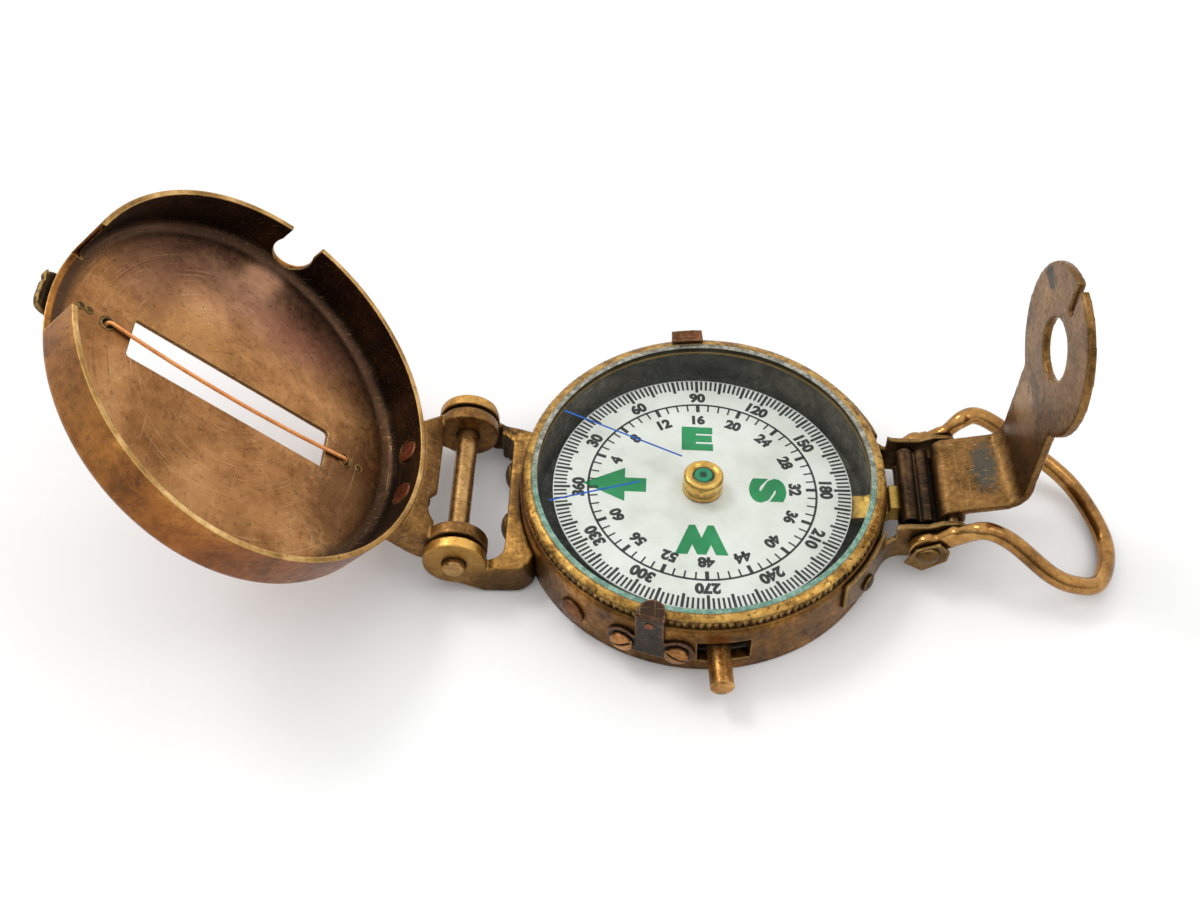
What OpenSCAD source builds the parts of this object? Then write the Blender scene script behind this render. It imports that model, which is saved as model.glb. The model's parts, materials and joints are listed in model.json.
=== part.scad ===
// Folding sighting compass with a round case, a slotted lid on a fork hinge, a bent lens arm
// and a wire thumb loop. The case stands on its flat floor at z = 0, its axis is Z,
// the lid hinge is on the -X side and the lens arm on the +X side. Lengths in mm.

/* [Case] */
// Outside diameter of the case wall
case_d = 56.8; // [50:0.2:66]
// Height of the case wall under the turning bezel
case_h = 9.9; // [9.2:0.1:11]
// Wall thickness of the case
case_wall = 1.8; // [1.5:0.1:2.4]
// Thickness of the case floor
case_floor = 1.2; // [0.8:0.1:1.6]
// Number of teeth round the bezel
bezel_teeth = 160; // [60:4:200]

/* [Card] */
// Gap between the edge of the white card and the case wall
card_gap = 3.3; // [3:0.1:7]
// Diameter of the brass cap over the pivot
cap_d = 6.2; // [5:0.1:8]
// Turn of the card, with its north towards the lid hinge at zero
card_turn = 0; // [-180:1:180]

/* [Lid] */
// Opening angle of the lid in this pose
lid_open = 134.4; // [90:0.2:150]
// Wall and floor thickness of the lid
lid_wall = 0.8; // [0.6:0.1:0.9]
// Length of the sighting slot
slot_len = 34.4; // [20:0.2:38]
// Width of the sighting slot
slot_w = 7.1; // [4:0.1:9]
// Diameter of the sighting wire
wire_d = 0.64; // [0.4:0.02:1]
// Sideways bow of the slack sighting wire
wire_bow = 1; // [0.4:0.1:2]

/* [Lid hinge] */
// Distance from the case wall to the hinge axis
hinge_out = 9.2; // [9:0.1:10]
// Diameter of the two fork ears
ear_d = 9.7; // [8:0.1:10]
// Diameter of the hinge pin
hinge_pin_d = 3.4; // [2.4:0.1:4]
// Half distance between the outer faces of the case fork
fork_half = 15.1; // [14:0.1:16]

/* [Lens arm] */
// Width of the bent strap
arm_w = 14.2; // [11:0.1:14.6]
// Thickness of the strap
arm_t = 1.25; // [0.8:0.05:1.4]
// Length of the lying part of the strap, to the bend
arm_base = 10.1; // [9:0.1:12]
// Length of the standing part, from the bend to the middle of the disc
arm_rise = 25.7; // [24:0.1:27]
// Radius of the lens disc
disc_r = 12.4; // [10:0.1:13]
// Radius of the open lens hole
lens_hole_r = 4.5; // [3:0.1:6]
// Slight twist of the standing part
arm_twist = 5.9; // [0:0.1:7]

/* [Thumb loop] */
// Diameter of the loop wire
loop_wire_d = 2.8; // [2:0.1:3]
// Reach of the loop beyond its screws
loop_reach = 28.7; // [26:0.1:32]

/* [Part] */
// Piece to show

/* [Hidden] */

$fn = 96;
eps = 0.01;
fit = 0.02;       // pieces of one body that only touch
run_fit = 0.05;   // radial play of a turning pin

case_r = case_d / 2;
case_in = case_r - case_wall;
neck_r = case_r - 1.25;
neck_top = case_h + 0.4;
skirt_low = case_h + 0.1;
knurl_r = case_r - 0.5;
shelf_z = neck_top + 0.4;
glass_r = case_r - 1.9;
glass_z = shelf_z + 0.45;
glass_t = 0.9;
glass_top = glass_z + glass_t;
liner_t = 0.5;

card_r = case_in - card_gap;
card_z = 7.1;
card_t = 0.4;
card_tip = 8.7;
hub_low = 5.3;
cap_top = glass_z - 0.25;
hub_r = 3.3;
post_r = 0.8;
card_dip = [-2.1, 2.4];   // degrees, to the back and to the lens arm
magnet_half = 0.56 * card_r;
magnet_w = 2.2;
magnet_y = 5.2;

hinge_x = -(case_r + hinge_out);
hinge_z = case_h - 2.8;
ear_r = ear_d / 2;
pin_r = hinge_pin_d / 2;
fork_t = 1.9;
tongue_half = fork_half - fork_t - 0.7;
tongue_t = 2.2;
bracket_top = case_h - 3.7;

lid_in = case_r + 1;
lid_r = lid_in + lid_wall;
rim_z = case_h - 2.3;
lid_top = glass_top + 4.35;
lid_floor = lid_top - lid_wall;
wire_x = 21;
lid_rivet_y = 4.2;
lid_rivet_z = rim_z + 3.4;
catch_y = 0.4;
catch_half = 3.8;
catch_t = 0.7;

clip_in = case_r + fit;
clip_t = 0.65;
clip_out = clip_in + clip_t;
clip_ang = -106;
clip_side = 8.2;
clip_z = 5;
boss_z = case_h + 0.9;
back_ang = 95;
wall_rivet_ang = -133;
wall_rivet_z = 4.3;

slot_ang = -84;
slot_half_deg = 8;
slot_z = 4.9;
slot_h = 4.6;
lock_r = 1.8;
lock_ang = -85.6;

cheek_in = arm_w / 2 + 1;
cheek_t = 0.75;
cheek_mid = cheek_in + cheek_t / 2;
cheek_out = cheek_in + cheek_t;
flange_ang = 28;
flange_end = 44;
flange_rivet_ang = 33;
flange_rivet_z = 5.6;
flange_r = case_r + fit + cheek_t / 2;
lens_x = case_r + 9.2;
lens_z = case_h - 0.2;
lens_pin_r = 0.8;
knuckle_r = 2.05;
strip_z = 2.9;
strip_rivet_x = case_r + 4.2;
arm_lean = 12.5;
arm_bend = 73.6;
bend_r = 2.6;

loop_x = case_r + 5.7;
loop_z = case_h - 3.6;
lug_t = 1.4;
lug_in = cheek_out + 0.3;
loop_r = loop_wire_d / 2;

lift_x = case_r - 0.9;
lift_z = 5.2;
lift_y = -1.1;
lift_w = 4.4;

module along_y(y, half) {
  translate([0, y + half, 0]) rotate([90, 0, 0]) linear_extrude(2 * half) children();
}

module ring(outer, inner, low, high) {
  rotate_extrude($fn = 180)
    translate([inner, low]) square([outer - inner, high - low]);
}

module on_wall(angle, radius, z) {
  rotate([0, 0, angle]) translate([radius, 0, z]) rotate([0, 90, 0]) children();
}

module dome(r, h) {
  ball = (r * r + h * h) / (2 * h);
  intersection() {
    translate([0, 0, h - ball]) sphere(ball);
    cylinder(r = r, h = h + 1);
  }
}

module lid_pose() {
  translate([hinge_x, 0, hinge_z]) rotate([0, -lid_open, 0])
    translate([-hinge_x, 0, -hinge_z]) children();
}

// The card hangs on the tip of its post, so its dip turns it about that point
module card_pose() {
  translate([0, 0, card_tip]) rotate([card_dip[0], 0, 0]) rotate([0, card_dip[1], card_turn])
    translate([0, 0, -card_tip]) children();
}

// Case

module case_cup() {
  color("#8a6a35") difference() {
    rotate_extrude($fn = 180) polygon([
      [0, 0], [case_r - 0.3, 0], [case_r, 0.3], [case_r, case_h - 1], [case_r - 0.1, case_h - 0.5],
      [case_r - 0.35, case_h - 0.1], [case_r - 0.6, case_h], [neck_r, case_h],
      [neck_r, neck_top], [case_in, neck_top], [case_in, case_floor], [0, case_floor]
    ]);
    lock_window(case_in - 1, case_r + 1);
    lifter_window(case_in - 1, case_r + 1);
    for (a = [-clip_side, clip_side]) on_wall(clip_ang + a, case_in - 1, clip_z)
      cylinder(r = 0.9 + fit, h = 4);
    on_wall(back_ang, case_in - 1, clip_z) cylinder(r = 0.9 + fit, h = 4);
    on_wall(wall_rivet_ang, case_in - 1, wall_rivet_z) cylinder(r = 1.2 + fit, h = 4);
    for (s = [-1, 1]) {
      on_wall(s * flange_rivet_ang, case_in - 1, flange_rivet_z) cylinder(r = 0.8 + fit, h = 4);
      translate([-case_r - 3, s * 5.1, 3.5]) rotate([0, 90, 0])
        cylinder(r = 1.1 + fit, h = 8);
    }
    translate([0, 0, -eps]) cylinder(r = 1.3 + fit, h = case_floor + 1);
    along_y(lift_y, lift_w / 2 + 1) translate([lift_x, lift_z]) circle(0.4 + fit);
  }
}

module lock_window(low, high) {
  rotate([0, 0, slot_ang - slot_half_deg]) rotate_extrude(angle = 2 * slot_half_deg)
    translate([low, slot_z - slot_h / 2]) square([high - low, slot_h]);
}

module lifter_window(low, high) {
  translate([low, lift_y - lift_w / 2 - 0.3, 3.2]) cube([high - low, lift_w + 0.6, 4.1]);
}

module chamber_liner() {
  color("#34373a") difference() {
    ring(case_in - fit, case_in - liner_t, case_floor + fit, neck_top - 0.1);
    lock_window(case_in - 3, case_r + 1);
    lifter_window(case_in - 3, case_r + 1);
  }
}

module chamber_floor() {
  color("#2b2e31") difference() {
    translate([0, 0, case_floor + fit]) cylinder(r = case_in - liner_t - fit, h = 0.4);
    cylinder(r = 2.5, h = 5);
  }
}

module pivot_post() {
  color("#b08a45") rotate_extrude() polygon([
    [0, 0.1], [1.3, 0.1], [1.3, case_floor + fit], [2.3, case_floor + fit], [2.3, 2.3],
    [post_r, 2.8], [post_r, card_tip - 1.3], [0.12, card_tip], [0, card_tip]
  ]);
}

module case_rivet() {
  color("#6d5230") on_wall(wall_rivet_ang, case_in, wall_rivet_z) {
    cylinder(r = 1.2, h = case_wall + fit);
    translate([0, 0, case_wall + fit]) cylinder(r = 2.2, h = 0.5);
    translate([0, 0, case_wall + fit + 0.5]) dome(2.2, 0.7);
  }
}

// Card, magnets and pivot cap turn as one

module compass_card() {
  color("#e9ebe4") card_pose() translate([0, 0, card_z]) difference() {
    cylinder(r = card_r, h = card_t, $fn = 180);
    translate([0, 0, -1]) cylinder(r = 2.2, h = 3);
  }
}

module card_magnets() {
  color("#70757a") card_pose() for (s = [-1, 1])
    translate([-magnet_half, s * magnet_y - magnet_w / 2, card_z - 1.1 - fit])
      cube([2 * magnet_half, magnet_w, 1.1]);
}

module pivot_cap() {
  cap_r = cap_d / 2;
  waist = card_z + card_t + 1;
  color("#b8904a") card_pose() rotate_extrude() polygon([
    [1.2, hub_low], [hub_r, hub_low], [hub_r, card_z - fit], [2.2 - fit, card_z - fit],
    [2.2 - fit, card_z + card_t + fit], [cap_r, card_z + card_t + fit], [cap_r, waist],
    [cap_r - 0.25, waist + 0.15], [cap_r - 0.25, waist + 0.4], [cap_r, waist + 0.55],
    [cap_r, cap_top - 0.35], [cap_r - 0.35, cap_top], [1.7, cap_top], [1.7, cap_top - 0.9],
    [0.9, cap_top - 1.4], [1.2, cap_top - 1.5]
  ]);
}

module cap_jewel() {
  color("#0f6b4c") card_pose() rotate_extrude() polygon([
    [0, card_tip + 0.05], [0.2, card_tip + 0.05], [0.65, card_tip - 0.45],
    [0.85, card_tip - 0.45],
    [0.85, cap_top - 1.38], [1.65, cap_top - 0.86],
    [1.65, cap_top - 0.15], [1.1, cap_top + 0.05], [0, cap_top - 0.1]
  ]);
}

// Turning bezel with the glass

module bezel_ring() {
  tip = knurl_r;
  root = knurl_r - 0.3;
  step = 360 / bezel_teeth;
  band = 1.45;
  band_low = skirt_low + 0.15;
  color("#a9823c") difference() {
    union() {
      translate([0, 0, band_low]) linear_extrude(band) polygon([
        for (i = [0 : bezel_teeth - 1]) for (k = [[0, root], [0.3, tip], [0.6, tip], [0.9, root]])
          [k[1] * cos((i + k[0]) * step), k[1] * sin((i + k[0]) * step)]
      ]);
      rotate_extrude($fn = 180) polygon([
        [neck_r + run_fit, skirt_low], [root - 0.1, skirt_low], [root, skirt_low + 0.1],
        [root, band_low + band], [knurl_r - 0.1, band_low + band + 0.1], [glass_r + 0.35, glass_top],
        [glass_r + fit, glass_top], [glass_r + fit, shelf_z], [glass_r - 0.5, shelf_z],
        [glass_r - 0.5, neck_top + run_fit], [neck_r + run_fit, neck_top + run_fit]
      ]);
    }
    translate([0, 0, -1]) cylinder(r = neck_r + run_fit, h = neck_top + 1 + run_fit, $fn = 180);
    cylinder(r = glass_r - 0.5, h = 30, $fn = 180);
    translate([0, 0, shelf_z]) cylinder(r = glass_r + fit, h = 10, $fn = 180);
  }
}

module glass() {
  color("#bfd8cf", 0.45) rotate_extrude($fn = 180) polygon([
    [0, glass_z], [glass_r - 0.1, glass_z], [glass_r, glass_z + 0.1],
    [glass_r, glass_top - 0.35], [glass_r - 0.35, glass_top], [0, glass_top]
  ]);
}

module glass_ring() {
  color("#c9b887") ring(glass_r - fit, glass_r - 0.9, shelf_z + fit, glass_z - fit);
}

// Fork hinge of the lid

module fork_side(low, high, back) {
  circle(ear_r);
  polygon([
    [0, -ear_r], [4, low], [back, low], [back, high], [6, high], [4.9, high - 0.3], [2, high + 1.2]
  ]);
}

module case_hinge_bracket() {
  inner = fork_half - fork_t;
  base_x = -case_r - 1.9;
  jog_x = hinge_x + ear_r + 0.35;
  far_in = inner - 2.4;
  color("#96733a") difference() {
    intersection() {
      union() {
        for (s = [-1, 1]) translate([hinge_x, s * (inner + fork_t / 2), hinge_z])
          rotate([90, 0, 0]) linear_extrude(fork_t, center = true)
            fork_side(0.3 - hinge_z, bracket_top - hinge_z, 16);
        translate([0, 0, 0.3]) linear_extrude(bracket_top - 0.3) {
          translate([base_x, -fork_half]) square([10, 2 * fork_half]);
          polygon([
            [jog_x, far_in + 0.7], [base_x + 0.1, far_in], [base_x + 0.1, inner + 0.5], [jog_x, inner + 0.5]
          ]);
        }
        translate([base_x, -inner, 0.3]) rotate([0, 0, 90]) inside_corner(2.6, bracket_top - 0.3);
        translate([base_x, far_in, 0.3]) rotate([0, 0, 180]) inside_corner(1.2, bracket_top - 0.3);
      }
      linear_extrude(30) fork_plan();
    }
    translate([0, 0, -1]) cylinder(r = case_r + fit, h = 40, $fn = 180);
    along_y(0, 30) translate([hinge_x, hinge_z]) circle(pin_r + fit);
    for (s = [-1, 1]) translate([-case_r - 6, s * 5.1, 3.5]) rotate([0, 90, 0])
      cylinder(r = 1.1 + fit, h = 12);
  }
}

// Plan of the fork, rounded against the wall; its far arm is set in beyond the ear
module fork_plan() {
  r = 3.4;
  turn_x = 2 - case_r - r + 0.7;
  tail_x = hinge_x - 10;
  intersection() {
    union() {
      translate([tail_x, -fork_half]) square([turn_x - tail_x, 2 * fork_half]);
      translate([tail_x, r - fork_half]) square([turn_x - tail_x + r + 4, 2 * (fork_half - r)]);
      for (s = [-1, 1]) translate([turn_x, s * (fork_half - r)]) circle(r);
    }
    polygon([
      [tail_x, -fork_half - 1], [0, -fork_half - 1], [0, fork_half - 3.4], [1 - case_r, fork_half - 2.9],
      [-case_r - 1.1, fork_half - 2.2], [hinge_x + 6, fork_half - 1.7], [hinge_x + 4, fork_half],
      [tail_x, fork_half]
    ]);
  }
}

module inside_corner(r, h) {
  linear_extrude(h) difference() {
    square(r);
    translate([r, r]) circle(r);
  }
}

module case_bracket_rivets() {
  base_x = -case_r - 1.9;
  color("#7d6136") for (s = [-1, 1]) translate([0, s * 5.1, 3.5]) {
    translate([base_x - fit, 0, 0]) rotate([0, 90, 0]) cylinder(r = 1.1, h = 4.1);
    translate([base_x - fit, 0, 0]) rotate([0, -90, 0]) {
      cylinder(r = 2.1, h = 0.3);
      translate([0, 0, 0.3]) dome(2.1, 0.8);
    }
  }
}

module hinge_pin() {
  color("#b08a45") {
    along_y(0, fork_half + 0.9) translate([hinge_x, hinge_z]) circle(pin_r);
    for (s = [-1, 1]) translate([hinge_x, s * (fork_half + 0.9), hinge_z])
      rotate([-90 * s, 0, 0]) cylinder(r1 = pin_r, r2 = pin_r - 0.3, h = 0.3);
  }
}

// Lid, built closed and turned open about the hinge pin

module lid_shell() {
  corner = 1.4;
  color("#9a6c2f") lid_pose() difference() {
    rotate_extrude($fn = 180) difference() {
      union() {
        translate([0, rim_z]) square([lid_r, lid_top - corner - rim_z]);
        translate([0, rim_z]) square([lid_r - corner, lid_top - rim_z]);
        translate([lid_r - corner, lid_top - corner]) circle(corner);
      }
      union() {
        inner = 2;
        translate([0, rim_z - 1]) square([lid_in, lid_floor - inner - rim_z + 1]);
        translate([0, rim_z - 1]) square([lid_in - inner, lid_floor - rim_z + 1]);
        translate([lid_in - inner, lid_floor - inner]) circle(inner);
      }
      translate([-lid_r * 2, 0]) square([lid_r * 2, 40]);
    }
    translate([0, 0, lid_floor - 1]) linear_extrude(4) slot_shape();
    for (s = [-1, 1]) translate([s * wire_x, 0, lid_floor - 1]) cylinder(r = 1.2, h = 4);
    arm_gate();
    clip_notch();
    for (s = [-1, 1]) translate([-lid_r - 3, s * lid_rivet_y, lid_rivet_z]) rotate([0, 90, 0])
      cylinder(r = 1.9 + fit, h = 8);
    for (x = [24, 25.3]) translate([x, catch_y, lid_floor - 1]) cylinder(r = 0.6 + fit, h = 4);
    translate([-23.4, 0, lid_floor - 1]) cylinder(r = 0.6 + fit, h = 4);
  }
}

module slot_shape() {
  r = 0.6;
  difference() {
    square([slot_len, slot_w], center = true);
    for (x = [-1, 1], y = [-1, 1]) translate([x * (slot_len / 2 - r / 2), y * (slot_w / 2 - r / 2)])
      square(r + eps, center = true);
  }
  for (x = [-1, 1], y = [-1, 1]) translate([x * (slot_len / 2 - r), y * (slot_w / 2 - r)])
    circle(r);
}

// Gap in the far wall of the lid for the strap
module arm_gate() {
  near = arm_w / 2 + 0.35;
  far = arm_w / 2 + 0.8;
  translate([case_r - 6, 0, 0]) rotate([90, 0, 90]) linear_extrude(12)
    polygon([
      [-near, rim_z - 1], [far + 0.5, rim_z - 1], [far + 0.5, rim_z], [far, lid_floor - 0.2],
      [-near, lid_floor - 0.2]
    ]);
}

// Keyhole notch that clears the clip on the back of the case
module clip_notch() {
  rotate([0, 0, back_ang - 90]) translate([0, lid_in - 3, 0]) rotate([-90, 0, 0])
    linear_extrude(6) {
      translate([-2.9, -rim_z - 3.4]) square([5.8, 6]);
      translate([0, -rim_z - 4]) circle(3.2);
    }
}

module lid_hinge_bracket() {
  front = -lid_r - 3.2;
  low = rim_z - hinge_z;
  high = 12.9 - hinge_z;
  color("#96733a") lid_pose() difference() {
    union() {
      for (s = [-1, 1]) translate([hinge_x, s * (tongue_half - tongue_t / 2), hinge_z])
        rotate([90, 0, 0]) linear_extrude(tongue_t, center = true) {
          circle(ear_r);
          polygon([[2, low], [14, low], [14, high], [4, high], [0, ear_r], [0, 1]]);
        }
      translate([front, -tongue_half, rim_z]) cube([8, 2 * tongue_half, high - low]);
    }
    translate([0, 0, -1]) cylinder(r = lid_r + fit, h = 40, $fn = 180);
    translate([-20, -20, 0]) cube([40, 40, 40]);
    translate([front - 1.6, -6.3, 0]) cylinder(r = 3, h = 40);
    linear_extrude(40) polygon([
      [front + 0.3, tongue_half + 1], [front + 0.3, tongue_half + 0.1], [-lid_r + 1, tongue_half - 3.8],
      [0, tongue_half - 3.8], [0, tongue_half + 1]
    ]);
    along_y(0, 30) translate([hinge_x, hinge_z]) circle(pin_r + run_fit);
    for (s = [-1, 1]) translate([-lid_r - 6, s * lid_rivet_y, lid_rivet_z]) rotate([0, 90, 0])
      cylinder(r = 1.1 + fit, h = 8);
  }
}

module lid_bracket_rivets() {
  color("#9c4f33") lid_pose() for (s = [-1, 1])
    translate([0, s * lid_rivet_y, lid_rivet_z]) rotate([0, 90, 0]) {
      translate([0, 0, -lid_r - 3.4]) cylinder(r = 1.1, h = 4.2);
      translate([0, 0, -lid_r + 0.7]) cylinder(r = 1.9, h = 0.6);
      translate([0, 0, -lid_r - 3.2 - fit]) rotate([0, 180, 0]) dome(1.7, 0.5);
    }
}

module lid_catch() {
  lip_x = lid_r + 0.5;
  color("#7a5c33") lid_pose() difference() {
    intersection() {
      translate([0, 0, lid_top + fit]) along_y(catch_y, catch_half) {
        translate([22.6, 0]) square([lip_x - 22.6, catch_t]);
        translate([lip_x, -0.3]) intersection() {
          difference() {
            circle(catch_t + 0.3);
            circle(0.3);
          }
          polygon([[0, 0], [0, 3], [3, 3], [3, -2.4]]);
        }
      }
      translate([22.6, catch_y - catch_half, 0]) linear_extrude(30) catch_plan(lip_x + 1 - 22.6);
    }
    for (x = [24, 25.3]) translate([x, catch_y, lid_floor - 1]) cylinder(r = 0.6 + fit, h = 8);
    translate([lip_x + 1.1, catch_y + 1.1, 0]) cylinder(r = 0.6, h = 30);
  }
}

// Outline of the tongue from above, with rounded outer corners
module catch_plan(long) {
  r = 2.2;
  square([long - r, 2 * catch_half]);
  translate([0, r]) square([long, 2 * (catch_half - r)]);
  for (y = [r, 2 * catch_half - r]) translate([long - r, y]) circle(r);
}

module catch_rivets() {
  color("#4a4038") lid_pose() for (x = [24, 25.3]) translate([x, catch_y, lid_floor - 0.12])
    cylinder(r = 0.6, h = lid_wall + catch_t + 0.22);
}

module lid_plug() {
  color("#5b4a33") lid_pose() translate([-23.4, 0, lid_floor - 0.08])
    cylinder(r = 0.6, h = lid_wall + 0.16);
}

module sighting_wire() {
  r = wire_d / 2;
  z = lid_floor - r - 0.12;
  turn = 0.5;
  reach = wire_x - turn;
  spans = 16;
  bends = 4;
  arc = [for (k = [0 : bends]) [sin(90 * k / bends), 1 - cos(90 * k / bends)] * turn];
  points = concat(
    [[-wire_x, 0, lid_top + 0.6]],
    [for (k = [bends : -1 : 1]) [-reach - arc[k][0], 0, z + arc[k][1]]],
    [for (k = [0 : spans]) let (x = reach * (2 * k / spans - 1))
      [x, -wire_bow * (1 - x * x / (reach * reach)), z]],
    [for (k = [1 : bends]) [reach + arc[k][0], 0, z + arc[k][1]]],
    [[wire_x, 0, lid_top + 0.6]]
  );
  color("#b1592e") lid_pose() {
    tube(points, [for (p = points) [r, r]], [0, 1, 0], 12);
    for (s = [-1, 1]) translate([s * wire_x, 0, lid_top + 0.55]) sphere(0.7, $fn = 32);
  }
}

module wire_eyelets() {
  hold = wire_d / 2 + 0.02;
  color("#c7a560") lid_pose() for (s = [-1, 1]) translate([s * wire_x, 0, 0])
    rotate_extrude() polygon([
      [1.2 - fit, lid_floor - 0.1], [1.2 - fit, lid_top], [hold, lid_top],
      [hold, lid_top - 0.3], [0.8, lid_floor + 0.05], [0.85, lid_floor - 0.1]
    ]);
}

// Lens bracket, spring and arm

module bar2d(p, q, w) {
  d = q - p;
  translate(p) rotate(atan2(d[1], d[0])) {
    translate([0, -w / 2]) square([norm(d), w]);
    circle(w / 2);
    translate([norm(d), 0]) circle(w / 2);
  }
}

module lens_bracket() {
  leave = flange_r * [cos(flange_ang), sin(flange_ang)];
  run = (leave[1] - cheek_mid) / cos(flange_ang);
  turn = leave + run * [sin(flange_ang), -cos(flange_ang)];
  ease = 2.6;
  start = turn - ease * [sin(flange_ang), -cos(flange_ang)];
  nose = lens_x + 2.1;
  color("#80602f") difference() {
    intersection() {
      union() {
        for (s = [0, 1]) mirror([0, s, 0]) linear_extrude(14) {
          bar2d(leave, start, cheek_t);
          for (k = [0 : 3]) bar2d(eased(start, turn, turn + [ease, 0], k / 4),
            eased(start, turn, turn + [ease, 0], (k + 1) / 4), cheek_t);
          bar2d(turn + [ease, 0], [nose - cheek_t / 2, cheek_mid], cheek_t);
          rotate(flange_ang) intersection() {
            difference() {
              circle(flange_r + cheek_t / 2, $fn = 180);
              circle(flange_r - cheek_t / 2, $fn = 180);
            }
            polygon([[0, 0], [40, 0], 60 * [cos(flange_end - flange_ang), sin(flange_end - flange_ang)]]);
          }
        }
        translate([case_r + 2.2, -cheek_mid, strip_z]) cube([4, 2 * cheek_mid, 0.8]);
      }
      along_y(0, 30) bracket_profile(nose);
    }
    translate([0, 0, -1]) cylinder(r = case_r + fit, h = 40, $fn = 180);
    ring(lid_r + 0.25, lid_in - 0.2, rim_z - 0.3, 30);
    along_y(0, 30) {
      translate([lens_x, lens_z]) circle(lens_pin_r + fit);
      translate([loop_x, loop_z]) circle(1 + fit);
    }
    for (s = [-1, 1]) on_wall(s * flange_rivet_ang, case_r - 2, flange_rivet_z)
      cylinder(r = 0.8 + fit, h = 6);
    translate([strip_rivet_x, 0, 0]) cylinder(r = 0.8 + fit, h = 5);
  }
}

// Point at share t of the curve that eases a bend from a over b to c
function eased(a, b, c, t) = (1 - t) * (1 - t) * a + 2 * t * (1 - t) * b + t * t * c;

// Side outline of the cheeks
module bracket_profile(nose) {
  high = lens_z + 1.1;
  polygon([
    [0, 4.6], [case_r - 6.4, 4.4], [case_r - 4.6, 2.7], [case_r + 4, 2.6], [case_r + 6.8, 3.6],
    [nose, lens_z - 2], [nose, lens_z + 0.3], [nose - 1, high], [lens_x - 1.6, high],
    [lens_x - 3.6, case_h], [0, case_h]
  ]);
}

module lens_bracket_rivets() {
  color("#5f4429") for (s = [-1, 1]) on_wall(s * flange_rivet_ang, case_in, flange_rivet_z) {
    cylinder(r = 0.8, h = case_wall + cheek_t + 3 * fit);
    translate([0, 0, case_wall + cheek_t + 2 * fit]) {
      cylinder(r = 1.4, h = 0.5);
      translate([0, 0, 0.5]) dome(1.4, 0.4);
    }
  }
}

module lens_spring() {
  leaf = 0.5;
  half = cheek_in - 1.2;
  low = strip_z + 0.8 + fit;
  mid = case_r + 5.75;
  roll_x = case_r + 3.2;
  color("#3f3428") difference() {
    along_y(0, half) {
      translate([case_r + 2.3, low]) square([mid - case_r - 2.3 + leaf / 2, leaf]);
      translate([mid - leaf / 2, low]) square([leaf, lens_z - 2.2 - low]);
      translate([mid, lens_z - 2.7]) square([2.6, leaf]);
      translate([mid, lens_z - 1.3]) difference() {
        circle(1.15);
        circle(1.15 - leaf);
      }
      translate([roll_x, lens_z - 1.35]) difference() {
        circle(1.4);
        circle(1.4 - leaf);
      }
      translate([roll_x, lens_z - 2.75]) square([mid - roll_x, leaf]);
    }
    translate([strip_rivet_x, 0, 0]) cylinder(r = 0.8 + fit, h = 5);
  }
}

module spring_rivet() {
  color("#7d6136") translate([strip_rivet_x, 0, strip_z]) {
    translate([0, 0, -0.1]) cylinder(r = 0.8, h = 1.5);
    translate([0, 0, -0.4]) cylinder(r = 1.3, h = 0.38);
  }
}

module lens_pin() {
  color("#9c7a40") along_y(0, cheek_out + 0.1) translate([lens_x, lens_z]) circle(lens_pin_r);
}

module arm_frame() {
  translate([lens_x, 0, lens_z]) rotate([0, -arm_lean, 0]) children();
}

module lens_arm() {
  mid = knuckle_r - arm_t / 2;
  rm = bend_r + arm_t / 2;
  cut = rm * tan(arm_bend / 2);
  flat = arm_base - cut;
  rise = arm_rise - cut;
  color("#8d6b3a") arm_frame() difference() {
    union() {
      along_y(0, arm_w / 2) {
        circle(knuckle_r);
        translate([0, mid - arm_t / 2]) square([flat, arm_t]);
      }
      translate([flat, 0, mid]) rotate([0, 0, arm_twist]) {
        along_y(0, arm_w / 2) {
          translate([-0.9, -arm_t / 2]) square([0.9 + eps, arm_t]);
          translate([0, rm]) intersection() {
            difference() {
              circle(rm + arm_t / 2);
              circle(rm - arm_t / 2);
            }
            polygon([
              [0, 0], [0, -20], [20 * tan(arm_bend / 2), -20],
              [20 * sin(arm_bend), -20 * cos(arm_bend)]
            ]);
          }
        }
        translate([rm * sin(arm_bend), 0, rm - rm * cos(arm_bend)]) rotate([0, -arm_bend, 0]) {
          translate([-eps, -arm_w / 2, -arm_t / 2]) cube([rise, arm_w, arm_t]);
          translate([rise, 0, -arm_t / 2]) cylinder(r = disc_r, h = arm_t, $fn = 144);
        }
      }
    }
    along_y(0, 20) circle(lens_pin_r + run_fit);
    translate([flat, 0, mid]) rotate([0, 0, arm_twist])
      translate([rm * sin(arm_bend), 0, rm - rm * cos(arm_bend)]) rotate([0, -arm_bend, 0])
        translate([rise, 0, -3]) {
          cylinder(r = lens_hole_r, h = 6);
          translate([disc_r - 5, -0.6 - 0.55, 0]) cube([8, 1.2, 6]);
        }
  }
}

// Thumb loop: one bent wire whose ends are flattened into eyelets

function loop_at(s, y, z) = [loop_x + s * loop_reach, y, z];

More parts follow.
